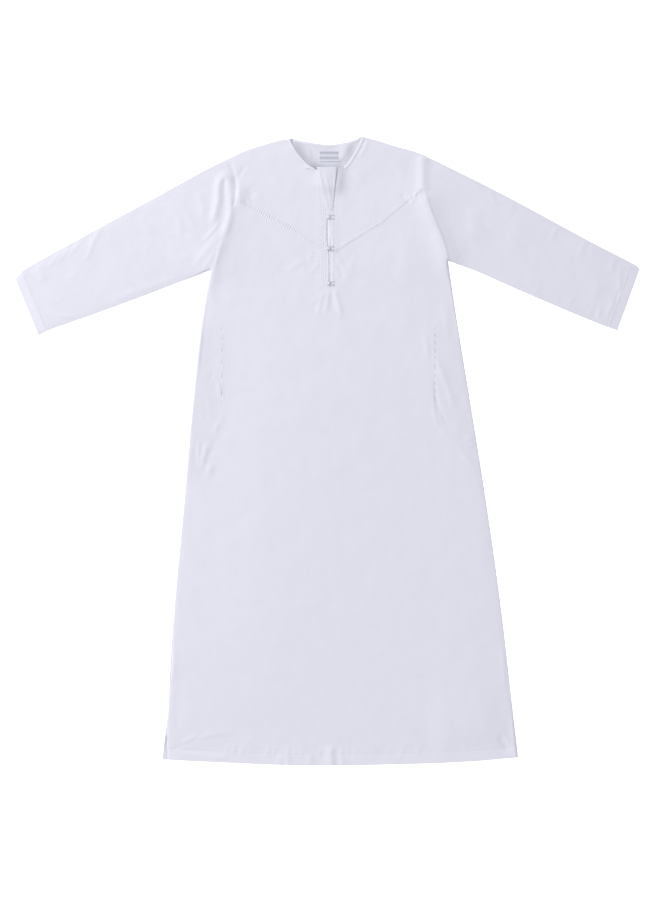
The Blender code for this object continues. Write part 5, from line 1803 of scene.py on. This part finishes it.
@dataclass
class Studio:
    """The floor, the soft light from the upper left and the camera straight above."""

    centre: Point = (0.00565, 0.00226)
    view_height: float = 2.034
    lens: float = 100.0
    sensor: float = 36.0

    def floor(self) -> None:
        """A plain white floor."""
        shape = bmesh.new()
        bmesh.ops.create_grid(shape, x_segments=1, y_segments=1, size=6.0)
        bmesh.ops.translate(shape, verts=shape.verts, vec=(0.0, 0.0, -0.0004))
        mesh = bpy.data.meshes.new("floor")
        shape.to_mesh(mesh)
        shape.free()
        shader = Shader("white_board")
        place = shader.node("ShaderNodeTexCoord", {}, {}).outputs["Object"]
        grain = shader.value("ShaderNodeTexNoise", {}, {"Vector": place, "Scale": 40.0})
        colour = shader.mixed(grain, (0.86, 0.86, 0.86, 1.0), (0.90, 0.90, 0.90, 1.0))
        shader.feed(shader.principled, {
            "Base Color": colour, "Roughness": 0.9, "Emission Color": (1.0, 1.0, 1.0, 1.0),
            "Emission Strength": 1.0, "Specular IOR Level": 0.0,
        })
        mesh.materials.append(shader.material)
        piece = in_scene("floor", mesh)

    def light(self, name: str, place: tuple[float, float, float], size: float, power: float) -> None:
        """A square soft light that looks at the robe's middle."""
        lamp = bpy.data.lights.new(name, "AREA")
        lamp.shape = "SQUARE"
        lamp.size = size
        lamp.energy = power
        holder = bpy.data.objects.new(name, lamp)
        holder.location = place
        holder.rotation_euler = (-Vector(place)).to_track_quat("-Z", "Y").to_euler()
        bpy.context.scene.collection.objects.link(holder)

    def sky(self, strength: float) -> None:
        """Even light from all round."""
        world = bpy.data.worlds.new("studio")
        world.use_nodes = True
        background = world.node_tree.nodes["Background"]
        background.inputs["Color"].default_value = (1.0, 1.0, 1.0, 1.0)
        background.inputs["Strength"].default_value = strength
        bpy.context.scene.world = world

    def camera(self) -> None:
        """A camera that looks straight down on the robe."""
        lens = bpy.data.cameras.new("camera")
        lens.lens = self.lens
        lens.sensor_width = self.sensor
        lens.clip_end = 60.0
        holder = bpy.data.objects.new("camera", lens)
        holder.location = (*self.centre, self.view_height * self.lens / self.sensor)
        bpy.context.scene.collection.objects.link(holder)
        bpy.context.scene.camera = holder

    def build(self) -> None:
        """Sets up the studio."""
        bpy.context.scene.view_settings.view_transform = "Standard"
        self.floor()
        self.light("key", (-5.2, 3.5, 4.3), 3.6, 440.0)
        self.light("fill", (0.5, -3.5, 4.5), 3.0, 46.0)
        self.sky(0.46)
        self.camera()


def main() -> None:
    """Builds the studio and the robe's sub-assemblies in order."""
    logging.basicConfig(level=logging.INFO, format="%(message)s")
    Studio().build()
    finishes = Wardrobe(
        poplin=PoplinFinish().made(),
        thread=ThreadFinish("white_thread", (226, 227, 238), strand=0.0006, relief=0.00003).made(),
        cord=ThreadFinish("white_cord", (236, 237, 247), relief=0.00002).made(),
        tape=TapeFinish().made(),
    )
    Body(finishes).build()
    Yoke(finishes).build()
    Sleeve(finishes, "left", CUFF_LEFT, SLEEVE_OVER_LEFT, SLEEVE_UNDER_LEFT,
           ARMHOLE_LOW_LEFT, ARMHOLE_HIGH_LEFT, cuff_tone=0.95, cuff_rise=0.0004).build()
    Sleeve(finishes, "right", CUFF_RIGHT, SLEEVE_OVER_RIGHT, SLEEVE_UNDER_RIGHT,
           ARMHOLE_LOW_RIGHT, ARMHOLE_HIGH_RIGHT, cuff_tone=0.80, cuff_rise=0.0001).build()
    Neck(finishes).build()
    Placket(finishes).build()
    Closures(finishes).build()
    Stitching(finishes).build()
    bpy.context.view_layer.update()


if __name__ == "__main__":
    main()
